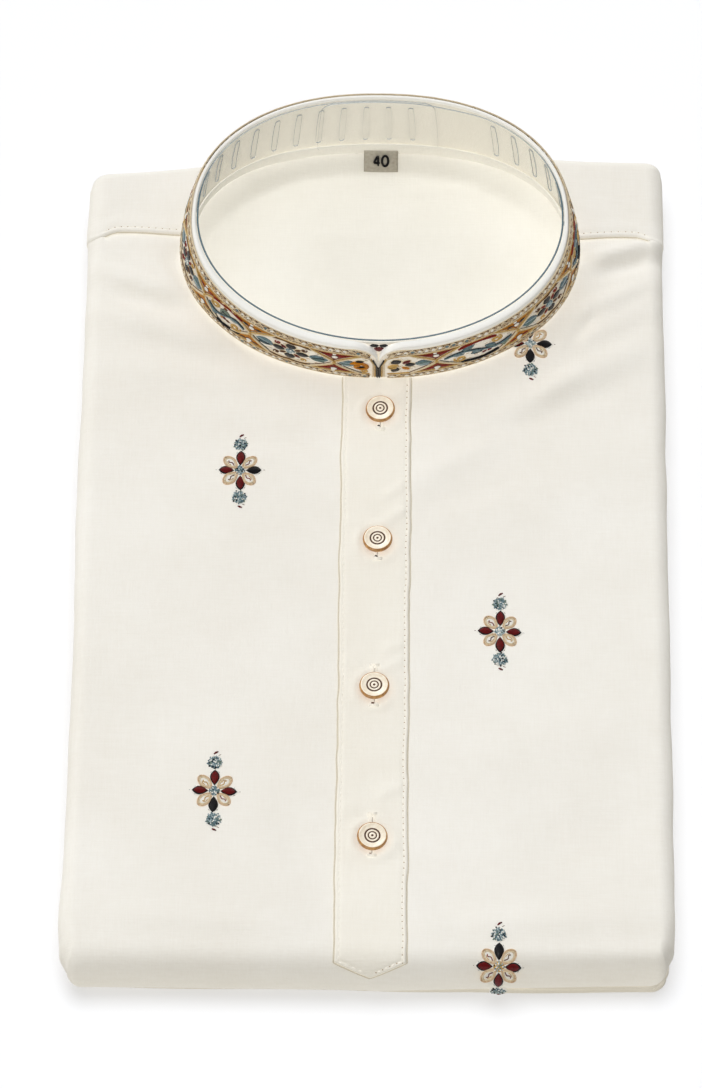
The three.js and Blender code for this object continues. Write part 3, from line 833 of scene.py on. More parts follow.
def roll_rings(edge, shift, height, grow=0.0):
    """Rings of the fold that runs on from a flat edge of (x, y) points, before the shoulder shift."""
    rings = []
    for i in range(1, ROLL_STEPS + 1):
        ring = []
        for x, y in edge:
            at_hem = smooth(END_Y + 30, ROLL_Y + 0.6, y)
            top = height(x, y + shift(x, y))
            down = mix(UPPER_ROLL, top / 2 - 0.25, at_hem)
            turn = mix(ROLL_TURN["side"], ROLL_TURN["hem"], at_hem)
            angle = math.radians(turn) * i / ROLL_STEPS
            t = math.sin(angle)
            ox, oy = outer_edge(x, y)
            narrow = 1 - HEM_NARROW * at_hem * smooth(1.0, 2.9, angle) + grow * t / HALF_WIDTH
            px, py = mix(x, ox, t) * narrow, mix(y, oy, t)
            ring.append((px, py + shift(px, py), top - down + down * math.cos(angle)))
        rings.append(ring)
    return rings


def cut_neck(points, faces, height):
    """Takes the faces inside the neck line away and draws the edge that is left onto that line."""
    def inside(face):
        x, y = [sum(points[i][axis] for i in face) / len(face) for axis in (0, 1)]
        return egg_measure(x, y, NECK_INSET) < 1

    gone = {i for face in faces if inside(face) for i in face}
    kept = [face for face in faces if not inside(face)]
    used = {i for face in kept for i in face}
    for i in gone & used:
        x, y, _ = points[i]
        k = egg_measure(x, y, NECK_INSET)
        x, y = COLLAR_X + (x - COLLAR_X) / k, BASE["y"] + (y - BASE["y"]) / k
        points[i] = (x, y, height(x, y))
    used = sorted(used)
    index = {old: new for new, old in enumerate(used)}
    return [points[i] for i in used], [tuple(index[i] for i in face) for face in kept]


def edge_loop(columns, rows):
    """Indexes down the left side of a grid of points, along its first row and up its right side."""
    left = [i * columns for i in range(rows - 1, 0, -1)]
    return left + list(range(columns)) + [i + columns - 1 for i in reversed(left)]


def rolled_panel(name, node, points, columns, loop, rings, height):
    """A sheet from a grid of points and the rings of the fold round its edge loop, less the neck."""
    faces = grid_faces(len(points) // columns, columns)
    start, count = len(points), len(loop)
    faces += [(loop[k + 1], loop[k], start + k, start + k + 1) for k in range(count - 1)]
    faces += turned_over(grid_faces(len(rings), count, start))
    points, faces = cut_neck(points + [p for ring in rings for p in ring], faces, height)
    return plain_piece(f"kurta_{name}", points, faces, CLOTH, "cloth", node, thickness=SHELL[name])


def front_cloth():
    """The front, from the yoke seam down and round the hem end, with its rolled sides."""
    xs = stations(-FLAT_X, FLAT_X, GRID)
    ys = stations(ROLL_Y, SEAM_Y, GRID, ends=(True, False))

    def seam_shift(x, y):
        return (seam_y(x) - GAP / 2 - SEAM_Y) * smooth(80, SEAM_Y, y)

    def height(x, y):
        tuck = FRONT_TUCK * smooth(3.4, 0.2, seam_y(x) - y)
        return panel_height(x, y) - tuck

    flat = [(x, y + seam_shift(x, y)) for y in ys for x in xs]
    points = [(x, y, height(x, y)) for x, y in flat]
    loop = edge_loop(len(xs), len(ys))
    rings = roll_rings([flat[i] for i in loop], lambda x, y: 0.0, panel_height)
    return rolled_panel("front", "front_panel", points, len(xs), loop, rings, panel_height)


YOKE_STITCH = 2.0  # topstitch line behind the yoke seam
YOKE_RISE = 0.85  # of the folded edge over the front
YOKE_SINK = 0.28  # of the whole yoke, beside the front's face


def yoke_height(x, y):
    """The yoke lies on the front's seam allowance, and is pressed down along its stitch line."""
    behind = y - seam_y(x)
    fold = YOKE_RISE * smooth(-0.3, 0.7, behind) * (1 - 0.6 * smooth(4.0, 9.0, behind))
    groove = 0.16 * bell(behind - YOKE_STITCH, 0.7)
    return cloth_height(x, y, panel_height) + fold - groove - YOKE_SINK


def yoke_shift(x, y):
    """How far a point of the yoke lies from its place in the even grid."""
    seam = (seam_y(x) - 0.3 - SEAM_Y) * (1 - smooth(SEAM_Y, 158, y))
    return seam + shoulder_shift(x) * smooth(SEAM_Y, SHOULDER_Y, y)


def yoke_cloth():
    """The yoke, from the seam over the shoulder fold and down behind."""
    xs = stations(-FLAT_X, FLAT_X, GRID)
    ys = stations(SEAM_Y, SHOULDER_Y, 1.4, reach=4.0, fine=0.5)
    even = [(x, y) for y in ys for x in xs]
    flat = [(x, y + yoke_shift(x, y)) for x, y in even]
    points = [(x, y, yoke_height(x, y)) for x, y in flat]
    loop = [len(points) - 1 - i for i in edge_loop(len(xs), len(ys))]
    rings = roll_rings([even[i] for i in loop], yoke_shift, yoke_height, 0.3)
    return rolled_panel("yoke", "yoke", points, len(xs), loop, rings, yoke_height)


PLACKET_LIFT = 0.25  # of the strip's edge over the front
PLACKET_RISE = 0.85  # from there to its face
TIP_CORNER = 6.9  # how far past the start of the roll the strip's corners lie
TIP_POINT = 12.8  # and its point
EDGE_STITCH = 1.6  # topstitch line inside the placket's edge
PLACKET_TOP = egg_point(BASE, 0.1)[1] + 1.0


def placket_end(x):
    """Where the pointed end of the placket lies at a place across it."""
    share = clamp01(abs(x - PLACKET_X) / PLACKET_HALF)
    return ROLL_Y - mix(TIP_POINT, TIP_CORNER, share**1.05)


def placket_edge(side, y):
    """The strip's edges wander a little between its buttons."""
    wave = 0.4 * wander(side * 3.0, y / 16, 4.4) + 0.25 * wander(side, y / 6, 0.4)
    return PLACKET_X + side * (PLACKET_HALF + wave * smooth(PLACKET_TOP + 1, PLACKET_TOP - 20, y))


def pucker(x, y):
    """The cloth dips under each button and rises in an uneven ring round it."""
    height = 0.0
    for bx, by in BUTTON_PLACES:
        r = math.hypot(x - bx, y - by)
        if r < 14:
            uneven = 0.45 + 0.5 * wander((x - bx) / 5, (y - by) / 5, by)
            height += uneven * bell(r - 8.0, 1.5) - 0.3 * bell(r, 5.5)
    return height


def placket_lift(x, y):
    """Height over the front: turned-in edges, a pressed stitch line and pulls at the buttons."""
    to_side = PLACKET_HALF - abs(x - PLACKET_X)
    to_end = (y - placket_end(x)) * 0.9
    inside = min(to_side, to_end)
    edge = smooth(-0.15, 0.75, inside)
    groove = 0.22 * bell(inside - EDGE_STITCH, 0.55)
    sag = 0.12 * math.cos(x * 0.22) * wander(x / 9, y / 14, 2.2)
    pulls = 1.5 * fold_sum(PLACKET_FOLDS, x, y) + pucker(x, y)
    return PLACKET_LIFT + PLACKET_RISE * edge - groove + (sag + pulls) * smooth(0.5, 3, inside)


def placket_cloth():
    """The buttoned strip down the front, pointed at its lower end."""
    shares = [0, 0.25, 0.5, 0.8, 1.2, 1.6, 2.0, 2.6, 3.4]
    xs = [-PLACKET_HALF + d for d in shares]
    xs += stations(-PLACKET_HALF + 4.4, PLACKET_HALF - 4.4, 1.1, ends=(False, False))
    xs += [PLACKET_HALF - d for d in reversed(shares)]
    corner = ROLL_Y - TIP_CORNER
    ys = stations(corner, PLACKET_TOP, 1.25, fine=0.35, reach=4.2, ends=(True, False))
    points = []
    for y0 in ys:
        for dx in xs:
            side = dx / PLACKET_HALF
            x = mix(placket_edge(-1, y0), placket_edge(1, y0), (side + 1) / 2)
            y = y0 + (placket_end(PLACKET_X + dx) - corner) * smooth(corner + 14, corner, y0)
            points.append(on_panel(x, y, placket_lift(PLACKET_X + dx, y)))
    return plain_piece("placket_strip", points, grid_faces(len(ys), len(xs)), PLACKET_CLOTH, "cloth",
                       "placket", thickness=SHELL["placket"])


def floor_place(angle, share):
    x, y = egg_point(BASE, angle, NECK_INSET - 1)
    return mix(COLLAR_X, x, share), mix(BASE["y"], y, share)


def floor_height(angle, share):
    """Inside of the back: flat in the middle, and rising to the neck seam all round."""
    behind = smooth(-0.15, 0.8, -math.cos(angle))
    rise = mix(1.6, FLOOR_RISE, behind) * smooth(mix(0.93, 0.8, behind), 1, share)
    x, y = floor_place(angle, share)
    drape = 0.5 * bell(share - 0.9, 0.05) * abs(math.sin(angle)) * smooth(-0.4, 0.5, -math.cos(angle))
    fold = 0.22 * bell(y - (143 + 0.02 * x), 1.6) * smooth(60, 20, abs(x))
    upper = 0.3 * bell(y - (163 + 0.06 * x), 2.2) * smooth(-8, 20, x) * smooth(62, 40, x)
    return NECK_FLOOR + rise + drape + fold + upper + 0.9 * ripple(x + 40, y)


def back_inside():
    """The inside of the back, seen through the neck, in a darker copy of the cotton: painted shade inside
    the collar.
    """
    steps = 120
    shares = between(0.04, 0.76, 26) + between(0.78, 1.0, 14)
    angles = [i * TURN / steps for i in range(steps)]
    points = [(*floor_place(a, share), floor_height(a, share)) for share in shares for a in angles]
    points.append((COLLAR_X, BASE["y"], floor_height(0, 0)))
    faces = [face[::-1] for face in grid_faces(len(shares), steps, closed=True)]
    faces += fan(0, steps, len(points) - 1)
    return plain_piece("kurta_back_inside", points, faces, SHADED_INSIDE_CLOTH, "cloth", "back_inside",
                       thickness=SHELL["inside"])


# Hidden layers below, from the top down: height, and how far the edges stand in
LAYERS = [
    {"height": 3.3, "side": 3.4, "shoulder": 4.5, "seed": 11.0},
    {"height": 3.1, "side": 1.6, "shoulder": 1.6, "seed": 23.0},
    {"height": 3.3, "side": 3.9, "shoulder": 6.0, "seed": 35.0},
    {"height": 2.9, "side": 2.2, "shoulder": 3.2, "seed": 47.0},
]
LAYERS_TOP = TOP_Z - 2 * UPPER_ROLL + 0.3


def layer_outline(layer, inward):
    """Plan of one folded layer, kept inside the roll of the hem end, with unpressed wavy edges."""
    half = HALF_WIDTH - layer["side"] - inward
    low, high = ROLL_Y - 7.5 + inward, TOP_Y - layer["shoulder"] - inward
    radius = 6.0
    points = []
    corners = [(half, high, 0, 70), (-half, high, 90, 110), (-half, low, 180, 70), (half, low, 270, 110)]
    arcs = []
    for x, y, start, _ in corners:
        cx, cy = x - math.copysign(radius, x), y - (radius if y == high else -radius)
        turns = [math.radians(d) for d in between(start, start + 90, 6)]
        arcs.append([(cx + radius * math.cos(a), cy + radius * math.sin(a)) for a in turns])
    for i, arc in enumerate(arcs):
        (x0, y0), (x1, y1) = arc[-1], arcs[(i + 1) % 4][0]
        count = corners[i][3]
        points += arc + [(mix(x0, x1, k / count), mix(y0, y1, k / count)) for k in range(1, count)]
    wavy = []
    for x, y in points:
        wave = 0.9 * wander(x / 38, y / 31, layer["seed"])
        size = math.hypot(x, y)
        wavy.append((x + x / size * wave, y + shoulder_shift(x) * smooth(20, 160, y) + y / size * wave))
    return wavy


def folded_layer(index, layer, top):
    """One hidden layer: cloth folded back on itself, closed round its edges, in a darker copy of the cotton:
    painted shade under the top layer.
    """
    half = layer["height"] / 2
    bottom = top - layer["height"]
    rings = [(60, top), (22, top), (7, top)]
    for a in between(math.radians(90), math.radians(-90), 10):
        rings.append((half * 1.25 * (1 - math.cos(a)), top - half + half * math.sin(a)))
    rings += [(7, bottom), (22, bottom), (60, bottom)]
    sections = []
    for inset, z in rings:
        section = []
        for x, y in layer_outline(layer, inset):
            dip = 0.22 * wander(x / 26, y / 30, layer["seed"] + 2)
            section.append((x, y, min(z + dip, top) if z > 0.5 else max(z, 0.05)))
        sections.append(section)
    points, faces = sweep(sections)
    return plain_piece(f"folded_layer_{index + 1}", points, [face[::-1] for face in faces], SHADED_LAYER_CLOTH,
                       "cloth", *(["folded_layers"] if index == 0 else []))


def folded_layers():
    """The hidden layers, one under the other."""
    made, top = [], LAYERS_TOP
    for index, layer in enumerate(LAYERS):
        made.append(folded_layer(index, layer, top))
        top -= layer["height"]
    return made


# The collar

LINING_INNER = 3.0
LIP_DOWN = 2.3  # how far the lining's rolled edge comes down over the outside


def collar_angles():
    """Stations round the collar from one end to the other, closer together at the rounded ends."""
    steps = (0, 0.08, 0.25, 0.6, 1.1, 1.8, 2.7, 3.9, 5.4, 7.1, END_ROUND)
    near = [front_angle(END_GAP + d) for d in steps]
    far = [TURN - a for a in reversed(near)]
    return near + between(near[-1], far[0], 180)[1:-1] + far


def wall_inset(angle, share, inset):
    """The collar's layers are pressed thinner at their top edge, behind most of all."""
    ahead = smooth(-0.2, 1, math.cos(angle))
    return inset * mix(1, mix(0.48, 0.9, ahead), share) if inset > 0 else inset


def collar_section(angle, profile):
    """A section of a wall round the neck. The profile lists (share, inset, drop from there)."""
    return [collar_point(angle, share, wall_inset(angle, share, inset), drop)
            for share, inset, drop in profile]


def collar_band():
    """The outer band that carries the embroidery."""
    outer = [(share, 0.0, 0.0) for share in between(-0.02, 0.9, 9)]
    profile = [(-0.03, 0.5, 0)] + outer + [(0.97, 0.05, 0.9), (0.97, 0.6, 0.5)]
    profile += [(share, 1.6, 0.6) for share in between(0.97, -0.03, 6)]
    points, faces = sweep([collar_section(angle, profile) for angle in collar_angles()])
    return plain_piece("collar_band", points, faces, GROUND_CLOTH, "collar_embroidery", "collar_outer")


def lining_profile(angle):
    """The lining's section: inside the band, over the top edge and, in front, a little way down."""
    ahead = smooth(-0.9, 0.7, math.cos(angle))
    at_end = smooth(14, 2, abs(math.sin(angle)) * TOP["half"]) * ahead
    down, lip = mix(0.4, LIP_DOWN, ahead) * (1 - 0.85 * at_end), mix(0.35, -0.3, ahead)
    profile = [(share, 1.8, 1.4) for share in between(0.0, 0.98, 5)]
    profile += [(1, 1.5, down), (1, 0.2, down), (1, lip, down - 0.15)]
    profile += [(1, lip - 0.08, down * 0.75), (1, lip, down * 0.5)]
    middle, half = (LINING_INNER + lip) / 2, (LINING_INNER - lip) / 2
    for degrees in between(15, 165, 8):
        a = math.radians(degrees)
        profile.append((1, middle - half * math.cos(a), 0.5 - 0.5 * math.sin(a)))
    return profile + [(1, LINING_INNER, 1.2)] + [(share, LINING_INNER, 0) for share in between(0.95, 0.0, 6)]


def collar_lining():
    """White fused lining, rolled over the top edge. Its inner wall takes a darker copy of the lining:
    painted shade.
    """
    sections = [collar_section(angle, lining_profile(angle)) for angle in collar_angles()]
    points, faces = sweep(sections)
    count = len(sections[0])
    # Faces along the last eight points of each section, down the inner wall, take the darker copy: painted
    # shade.
    slots = [int(i % count >= count - 8 and i < len(points) - count) for i in range(len(faces))]
    obj = new_object("collar_lining_edge", points, faces, [LINING_CLOTH, SHADED_LINING_INSIDE], slots)
    return settle(obj, "lining", "collar_lining")


TAB_INSET = LINING_INNER + 0.12
TAB_HALF = 15  # reaches this far to each side of the notch


def collar_tab():
    """The end of the collar that shows behind the notch."""
    shares, angles = between(0.1, 0.985, 14), [front_angle(a) for a in between(-TAB_HALF, TAB_HALF, 20)]
    points = [on_collar(a, share, wall_inset(a, share, TAB_INSET)) for share in shares for a in angles]
    faces = [face[::-1] for face in grid_faces(len(shares), len(angles))]
    return plain_piece("collar_tab", points, faces, GROUND_CLOTH, "cloth", "collar_underlap",
                       thickness=SHELL["tab"])


# Clear strip inside the collar. It runs from just right of the middle of the back, over the left
# side and the front, and on past where it started. Lengths run along that route.
STRIP_LOW = 0.07
STRIP_HIGH_FRONT, STRIP_HIGH_BACK = 1.0, 0.955
STRIP_START = -23.0
STRIP_PAST = 26.0
STRIP_LAP = 1.1  # how far in it moves at its end, to pass over its own start
LAP_FROM, LAP_TO = 50, 28  # where it does so, before the middle of the back
STRIP_WALL = 0.5
STRIP_ROUND = 4.0
RIM_FROM = 70  # where the dark top edge starts to show, either way from the middle of the back
SLOT_PITCH = 9.5
SLOT_HALF = 1.25
SLOT_LOW, SLOT_HIGH = 0.17, 0.86
SLOTS_LEFT = [-12.7 + SLOT_PITCH * k for k in range(12)]
SLOTS_RIGHT = [RING - 48 - SLOT_PITCH * k for k in range(7)]


def strip_point(along, share):
    """A point of the strip: millimetres along it, and a share of its height."""
    angle = ruler.angle(RING / 2 + along)
    lap = STRIP_LAP * smooth(RING - LAP_FROM, RING - LAP_TO, along)
    ahead = smooth(-0.7, 0.3, math.cos(angle))
    high = mix(STRIP_HIGH_BACK, STRIP_HIGH_FRONT, ahead) + 0.02 * smooth(RING - LAP_FROM, RING, along)
    up = mix(STRIP_LOW, high, share)
    return on_collar(angle, up, wall_inset(angle, up, LINING_INNER) + mix(0.25, 0.6, ahead) + lap)


def slot_cell(middle, rows):
    """A cell of the strip round one slot: the slot's outline, and as many points round the cell."""
    low, high = middle - SLOT_PITCH / 2, middle + SLOT_PITCH / 2
    cell = [(low, share) for share in rows[:-1]] + [(a, 1) for a in between(low, high, 4)[:-1]]
    cell += [(high, share) for share in rows[:0:-1]] + [(a, 0) for a in between(high, low, 4)[:-1]]
    tall = BAND_HEIGHT * (STRIP_HIGH_BACK - STRIP_LOW)
    centre, straight = (SLOT_LOW + SLOT_HIGH) / 2, (SLOT_HIGH - SLOT_LOW) / 2 - SLOT_HALF / tall
    slot = []
    for a, share in cell:
        turn = math.atan2((share - centre) * tall * 0.5, a - middle)
        up = max(-1.0, min(1.0, 1.8 * math.sin(turn)))
        slot.append((middle + SLOT_HALF * math.cos(turn),
                     centre + straight * up + SLOT_HALF / tall * math.sin(turn)))
    return slot, cell


def round_corner(away, share):
    """Draws the strip's edge in where an end is near."""
    if away >= STRIP_ROUND:
        return share
    cut = STRIP_ROUND - math.sqrt(STRIP_ROUND**2 - (STRIP_ROUND - max(0.0, away)) ** 2)
    return mix(cut / BAND_HEIGHT, 1 - cut / BAND_HEIGHT, share)


def clear_strip():
    """The strip that holds the collar up, with its row of long slots."""
    start, stop = STRIP_START, RING + STRIP_PAST
    rows = between(0, 1, 8)
    points, faces = [], []

    def place(a, share):
        return strip_point(a, round_corner(stop - a, round_corner(a - start, share)))

    def plain(a0, a1):
        count = max(1, round((a1 - a0) / 2.0))
        first = len(points)
        for share in rows:
            points.extend(place(a, share) for a in between(a0, a1, count))
        faces.extend(grid_faces(len(rows), count + 1, first))

    ends = [0.0, 0.15, 0.5, 1.2, 2.2, 3.2, STRIP_ROUND]
    for a0, a1 in zip(ends, ends[1:]):
        plain(start + a0, start + a1)
        plain(stop - a1, stop - a0)
    edge = start + STRIP_ROUND
    for middle in sorted(SLOTS_LEFT + SLOTS_RIGHT):
        if middle - SLOT_PITCH / 2 > edge + 0.01:
            plain(edge, middle - SLOT_PITCH / 2)
        slot, cell = slot_cell(middle, rows)
        first, count = len(points), len(cell)
        points.extend(place(*p) for p in slot + cell)
        faces.extend(turned_over(grid_faces(2, count, first, closed=True)))
        edge = middle + SLOT_PITCH / 2
    plain(edge, stop - STRIP_ROUND)
    obj = new_object("clear_strip", points, faces, [CLEAR_FACE, CLEAR_EDGE])
    face_inwards(obj, Vector((COLLAR_X, BASE["y"], 0)) * MM)
    # The rims take the dark edge material: painted shade where the plastic is seen along its edge.
    turn_rims(obj, STRIP_WALL, 1)
    return settle(obj, "clear_strip", "collar_support")


def strip_edge():
    """The strip's top edge: a dark cord, painted shade for how the plastic shows dark where one looks along
    it.
    """
    sections = []
    for along in between(RIM_FROM, RING - RIM_FROM, 220):
        angle = ruler.angle(RING / 2 + along)
        width = 0.36 * smooth(RIM_FROM, RIM_FROM + 30, min(along, RING - along))
        inset = wall_inset(angle, 1, LINING_INNER) + 0.6
        sections.append([on_collar(angle, STRIP_HIGH_FRONT + (0.3 + up) / BAND_HEIGHT, inset + out)
                         for out, up in ellipse(0, 0, width, width, sides=6)])
    points, faces = sweep(sections)
    return plain_piece("clear_strip_edge", points, faces, CLEAR_RIM, "clear_strip")


BINDING_START = 0.5  # angle from the front where the neck binding starts and ends


def neck_binding():
    """A narrow doubled strip over the neck seam, inside, with two soft ridges."""
    sections = []
    for angle in between(BINDING_START, TURN - BINDING_START, 200):
        section = []
        for k in range(16):
            turn = TURN * k / 16
            ridge = 0.75 + 0.25 * abs(math.cos(turn)) ** 0.5
            share = 0.075 + 0.075 * math.sin(turn)
            inset = LINING_INNER + 0.9 - 0.75 * ridge * math.cos(turn) + 2.2 * (0.15 - share)
            section.append(on_collar(angle, share, inset))
        sections.append(section)
    points, faces = sweep(sections)
    # In the darker inside cotton: painted shade inside the collar.
    return plain_piece("neck_binding_strip", points, faces, SHADED_INSIDE_CLOTH, "cloth", "neck_binding")


# Small hard pieces

LABEL_HALF = 6.8
LABEL_LENGTH = 8.8
LABEL_TILT = math.radians(51)
LABEL_Y = 174.95
LABEL_Z = NECK_FLOOR + 4.85
NUMBER = {"size": 4.2, "wide": 2.5, "gap": 0.8, "stroke": 0.5}


def on_label(a, b, lift):
    """A point of the tag: a across it, b up it from its middle."""
    curl = 0.05 * a * a / LABEL_HALF
    c, s = math.cos(LABEL_TILT), math.sin(LABEL_TILT)
    return (COLLAR_X + a, LABEL_Y + b * c - (lift - curl) * s, LABEL_Z + b * s + (lift - curl) * c)


def size_tag():
    """The woven size tag."""
    xs, ys = between(-LABEL_HALF, LABEL_HALF, 12), between(-LABEL_LENGTH / 2, LABEL_LENGTH / 2, 10)
    points = [on_label(x, y, 0.0) for y in ys for x in xs]
    return plain_piece("size_tag", points, grid_faces(len(ys), len(xs)), LABEL_SATIN, "label",
                       "size_label", thickness=SHELL["tag"])


def size_number():
    """A plain 40 on the tag, in this model's own strokes."""
    pile = Pile("size_tag_number", on_label, ["jet"])
    size, wide, stroke = NUMBER["size"], NUMBER["wide"], NUMBER["stroke"]
    four_x, zero_x, low = -NUMBER["gap"] / 2 - wide, NUMBER["gap"] / 2 + wide / 2, -size * 0.42
    for (x0, y0), (x1, y1) in (((0.72, 0), (0.72, 1)), ((0.62, 1), (0, 0.3)), ((0, 0.3), (1, 0.3))):
        bar = [(four_x + wide * mix(x0, x1, t), low + size * mix(y0, y1, t)) for t in between(0, 1, 5)]
        pile.cord(bar, stroke, "jet", base=0.1)
    pile.cord(ellipse(zero_x, low + size / 2, wide / 2, size / 2, 0, 28), stroke, "jet", base=0.1,
              closed=True)
    return pile.build("label")


BUTTON_PROFILE = [  # radius, height and which of the button's three finishes the next stretch has
    (0.0, 0.1, 1), (1.4, 0.0, 1), (2.6, 0.35, 1), (4.4, 0.55, 1), (5.25, 0.95, 1), (5.6, 1.5, 1),
    (5.7, 2.05, 1), (5.62, 2.55, 1), (5.4, 2.9, 1), (5.1, 3.08, 0), (4.75, 3.1, 0), (4.4, 2.98, 0),
    (4.0, 2.86, 0), (3.5, 2.8, 0), (3.05, 2.8, 2), (2.75, 2.6, 2), (2.4, 2.8, 0), (2.1, 2.84, 0),
    (1.75, 2.8, 2), (1.5, 2.62, 2), (1.25, 2.8, 0), (0.75, 2.84, 0), (0.48, 2.8, 2), (0.3, 2.7, 2),
    (0.0, 2.72, 2),
]
BUTTON_TILTS = [(2.0, -3.0), (-2.5, 1.5), (1.0, 2.0), (-1.5, -2.0)]
HOLE_REACH = [(5.2, 8.0), (6.2, 7.6), (9.9, 7.4), (10.4, 7.0)]  # of each buttonhole, up and down
HOLE_STITCH = 0.42  # from one stitch of a buttonhole's edge to the next


def button(index):
    """A turned button: a domed rim, two brown grooves and a centre dot."""
    x, y = BUTTON_PLACES[index]
    sides = 56
    points = [(r * math.cos(TURN * k / sides), r * math.sin(TURN * k / sides), z)
              for r, z, _ in BUTTON_PROFILE[1:-1] for k in range(sides)]
    rows = len(BUTTON_PROFILE) - 2
    faces = grid_faces(rows, sides, closed=True)
    slots = [BUTTON_PROFILE[1 + i // sides][2] for i in range(len(faces))]
    faces += end_caps(len(points), sides)
    slots += [1, 2]
    obj = new_object(f"button_{index + 1}_turned", points, faces, BUTTON_LOOKS, slots)
    px, py, pz = on_panel(x, y, BUTTON_LIFT)
    obj.location = (px * MM, py * MM, pz * MM)
    tilt_x, tilt_y = BUTTON_TILTS[index]
    obj.rotation_euler = (math.radians(tilt_x), math.radians(tilt_y), index * 1.3)
    bpy.context.view_layer.update()
    return settle(obj, "button", f"button_{index + 1}")


def on_placket(a, b, lift):
    """A point of the placket's face, or out from it by lift."""
    return on_panel(a, b, placket_lift(a, b) + lift)


def buttonhole(index):
    """The worked hole under a button: two satin edges, a slit between them, and a bar at each end. The
    slit's dark is painted shade.
    """
    x, y = BUTTON_PLACES[index]
    above, below = HOLE_REACH[index]
    pile = Pile(f"buttonhole_{index + 1}", on_placket, ["cotton", "hole", "brown", "jet", "cream"])
    rng = random.Random(300 + index)
    low, high = y - below, y + above
    for side in (-1, 1):
        for k in range(round((high - low) / HOLE_STITCH)):
            b = low + HOLE_STITCH * k
            wide = 1.15 + rng.uniform(-0.15, 0.2)
            pile.cord([(x + side * 0.3, b), (x + side * wide, b + 0.12)], 0.24, "cotton", 0.1, 5)
    for b in (low, high):
        for k in range(4):
            reach = 1.75 + rng.uniform(-0.1, 0.25)
            up = b + 0.36 * (k - 1.5)
            bar = [(x - reach, up), (x + reach, up + rng.uniform(-0.1, 0.1))]
            pile.cord(bar, 0.26, "cotton", 0.2, 5)
    # The slit is a brown cord, with a dark dot where it shows below the button: painted shade in the
    # opening.
    pile.cord([(x, low + 1), (x + 0.1, high - 1.6)], 0.16, "brown", 0.1, 5)
    pile.bead(x - 0.6, y - 6.3, 0.7, 0.45, 0.4, "jet" if index < 2 else "brown", sides=8, base=0.2)
    for k in range(5):
        a = x + rng.uniform(-1.4, 1.8)
        end = (a + rng.uniform(-0.8, 0.8), y - 7.4 - rng.uniform(0, 0.8))
        pile.cord([(a, y - 5.6), end], 0.15, "cotton", 0.3, 5)
    for k in range(4):
        turn = TURN * k / 4 + 0.4
        ends = [(x + side * math.cos(turn), y + side * math.sin(turn)) for side in (1, -1)]
        pile.cord(ends, 0.3, "cream", 0.4)
    return pile.build("cloth")


# Embroidery


def flower_motif(pile, x, y, colours, seed):
    """Four pointed stones, four looped petals between them, a beaded middle and a disc at each end."""
    rng = random.Random(seed)

    def shake(amount):
        return rng.uniform(-amount, amount)

    for k in range(4):
        looped_petal(pile, x, y, math.pi / 4 + k * math.pi / 2 + shake(0.06), rng)
    for k, colour in enumerate(colours[:4]):
        turn = math.pi / 2 - k * math.pi / 2 + shake(0.05)
        reach = (9.0 if k % 2 == 0 else 8.3) + shake(0.2)
        for inner, more, half, belly, rise, name, base in (
                (1.7, 0.75, 2.35, 0.55, 0.3, "white", 0.0), (2.1, 0.2, 1.9, 0.55, 0.42, "jet", 0.14),
                (2.6, -0.4, 1.45, 0.53, 0.62, colour, 0.28)):
            outline = almond(x, y, turn, inner, reach + more, half, belly=belly)
            pile.dome(outline, rise, name, turn, base)
        tip_marks(pile, x, y, turn, reach, rng)
    pile.bead(x, y, 2.5, 2.5, 0.46, "white", sides=16)
    middle = rng.choice(["slate", "slate", "ice"]) if colours[0] == "garnet" else "gold"
    pile.bead(x, y, 2.3, 2.3, 0.5, middle, sides=14, base=0.1)
    seed_beads(pile, x, y, 1.95, 1.95, 22, rng, 0.42)
    for side in (1, -1):
        cy = y + side * 12.0
        wide = 2.9 if side > 0 else 3.05
        pile.bead(x, cy, wide + 0.3, wide + 0.25, 0.26, "white", sides=18)
        pile.bead(x, cy, wide, wide, 0.34, "slate", sides=18, base=0.05)
        seed_beads(pile, x, cy, wide * 0.96, wide * 0.96, 62, rng, 0.22)
        top = cy + side * 3.7
        hook = [(x - 0.5, top - 0.2), (x + 0.2, top + side * 0.5), (x + 1.1, top + side * 0.9)]
        pile.cord(hook, 0.42, "garnet")
        pile.cord([(x + 1.2, cy + side * 3.0), (x + 2.1, cy + side * 3.4)], 0.2, "brown")


def looped_petal(pile, x, y, turn, rng):
    """A round petal of satin cord, open in its middle, with a darker thread inside."""
    length, half, middle = 3.0 + rng.uniform(-0.15, 0.2), 1.95 + rng.uniform(-0.1, 0.15), 5.0

    def path(*places):
        return [turned(x, y, turn, u, v) for u, v in places]

    def loop(shrink, count):
        places = []
        for k in range(count):
            a = TURN * k / count
            pinch = 1 - 0.42 * max(0.0, -math.cos(a))
            places.append((middle + length * shrink * math.cos(a), half * shrink * math.sin(a) * pinch))
        return path(*places)

    pile.dome(loop(1.1, 24), 0.2, "cream", turn)
    pile.dome(loop(0.72, 20), 0.14, "white", turn, base=0.18)
    pile.cord(loop(1.05, 28), 0.34, "peach", base=0.1, closed=True, twist=1.2)
    pile.cord(loop(0.78, 24), 0.26, "cream", base=0.2, closed=True, twist=1.2)
    ink = rng.choice(["rust", "brown", "garnet", "gold"])
    pile.cord(curve(path((3.0, 0.2), (4.4, -0.3), (5.4, 0.35), (6.2, -0.1)), 4), 0.2, ink, base=0.26)
    pile.cord(curve(path((4.2, 0.75), (5.2, 0.95), (6.2, 0.5)), 3), 0.15, "gold", base=0.26)


def tip_marks(pile, x, y, turn, reach, rng):
    """Short dark stitches round the tip of a stone."""
    for v, u in ((-1.75, reach - 1.3), (1.75, reach - 1.3), (0.0, reach + 0.75)):
        du, dv = rng.uniform(0.3, 0.75), rng.uniform(-0.2, 0.2) - 0.25 * v
        mark = [turned(x, y, turn, u, v), turned(x, y, turn, u + du, v + dv)]
        pile.cord(mark, 0.16, rng.choice(["brown", "jet", "slate"]), sides=5)


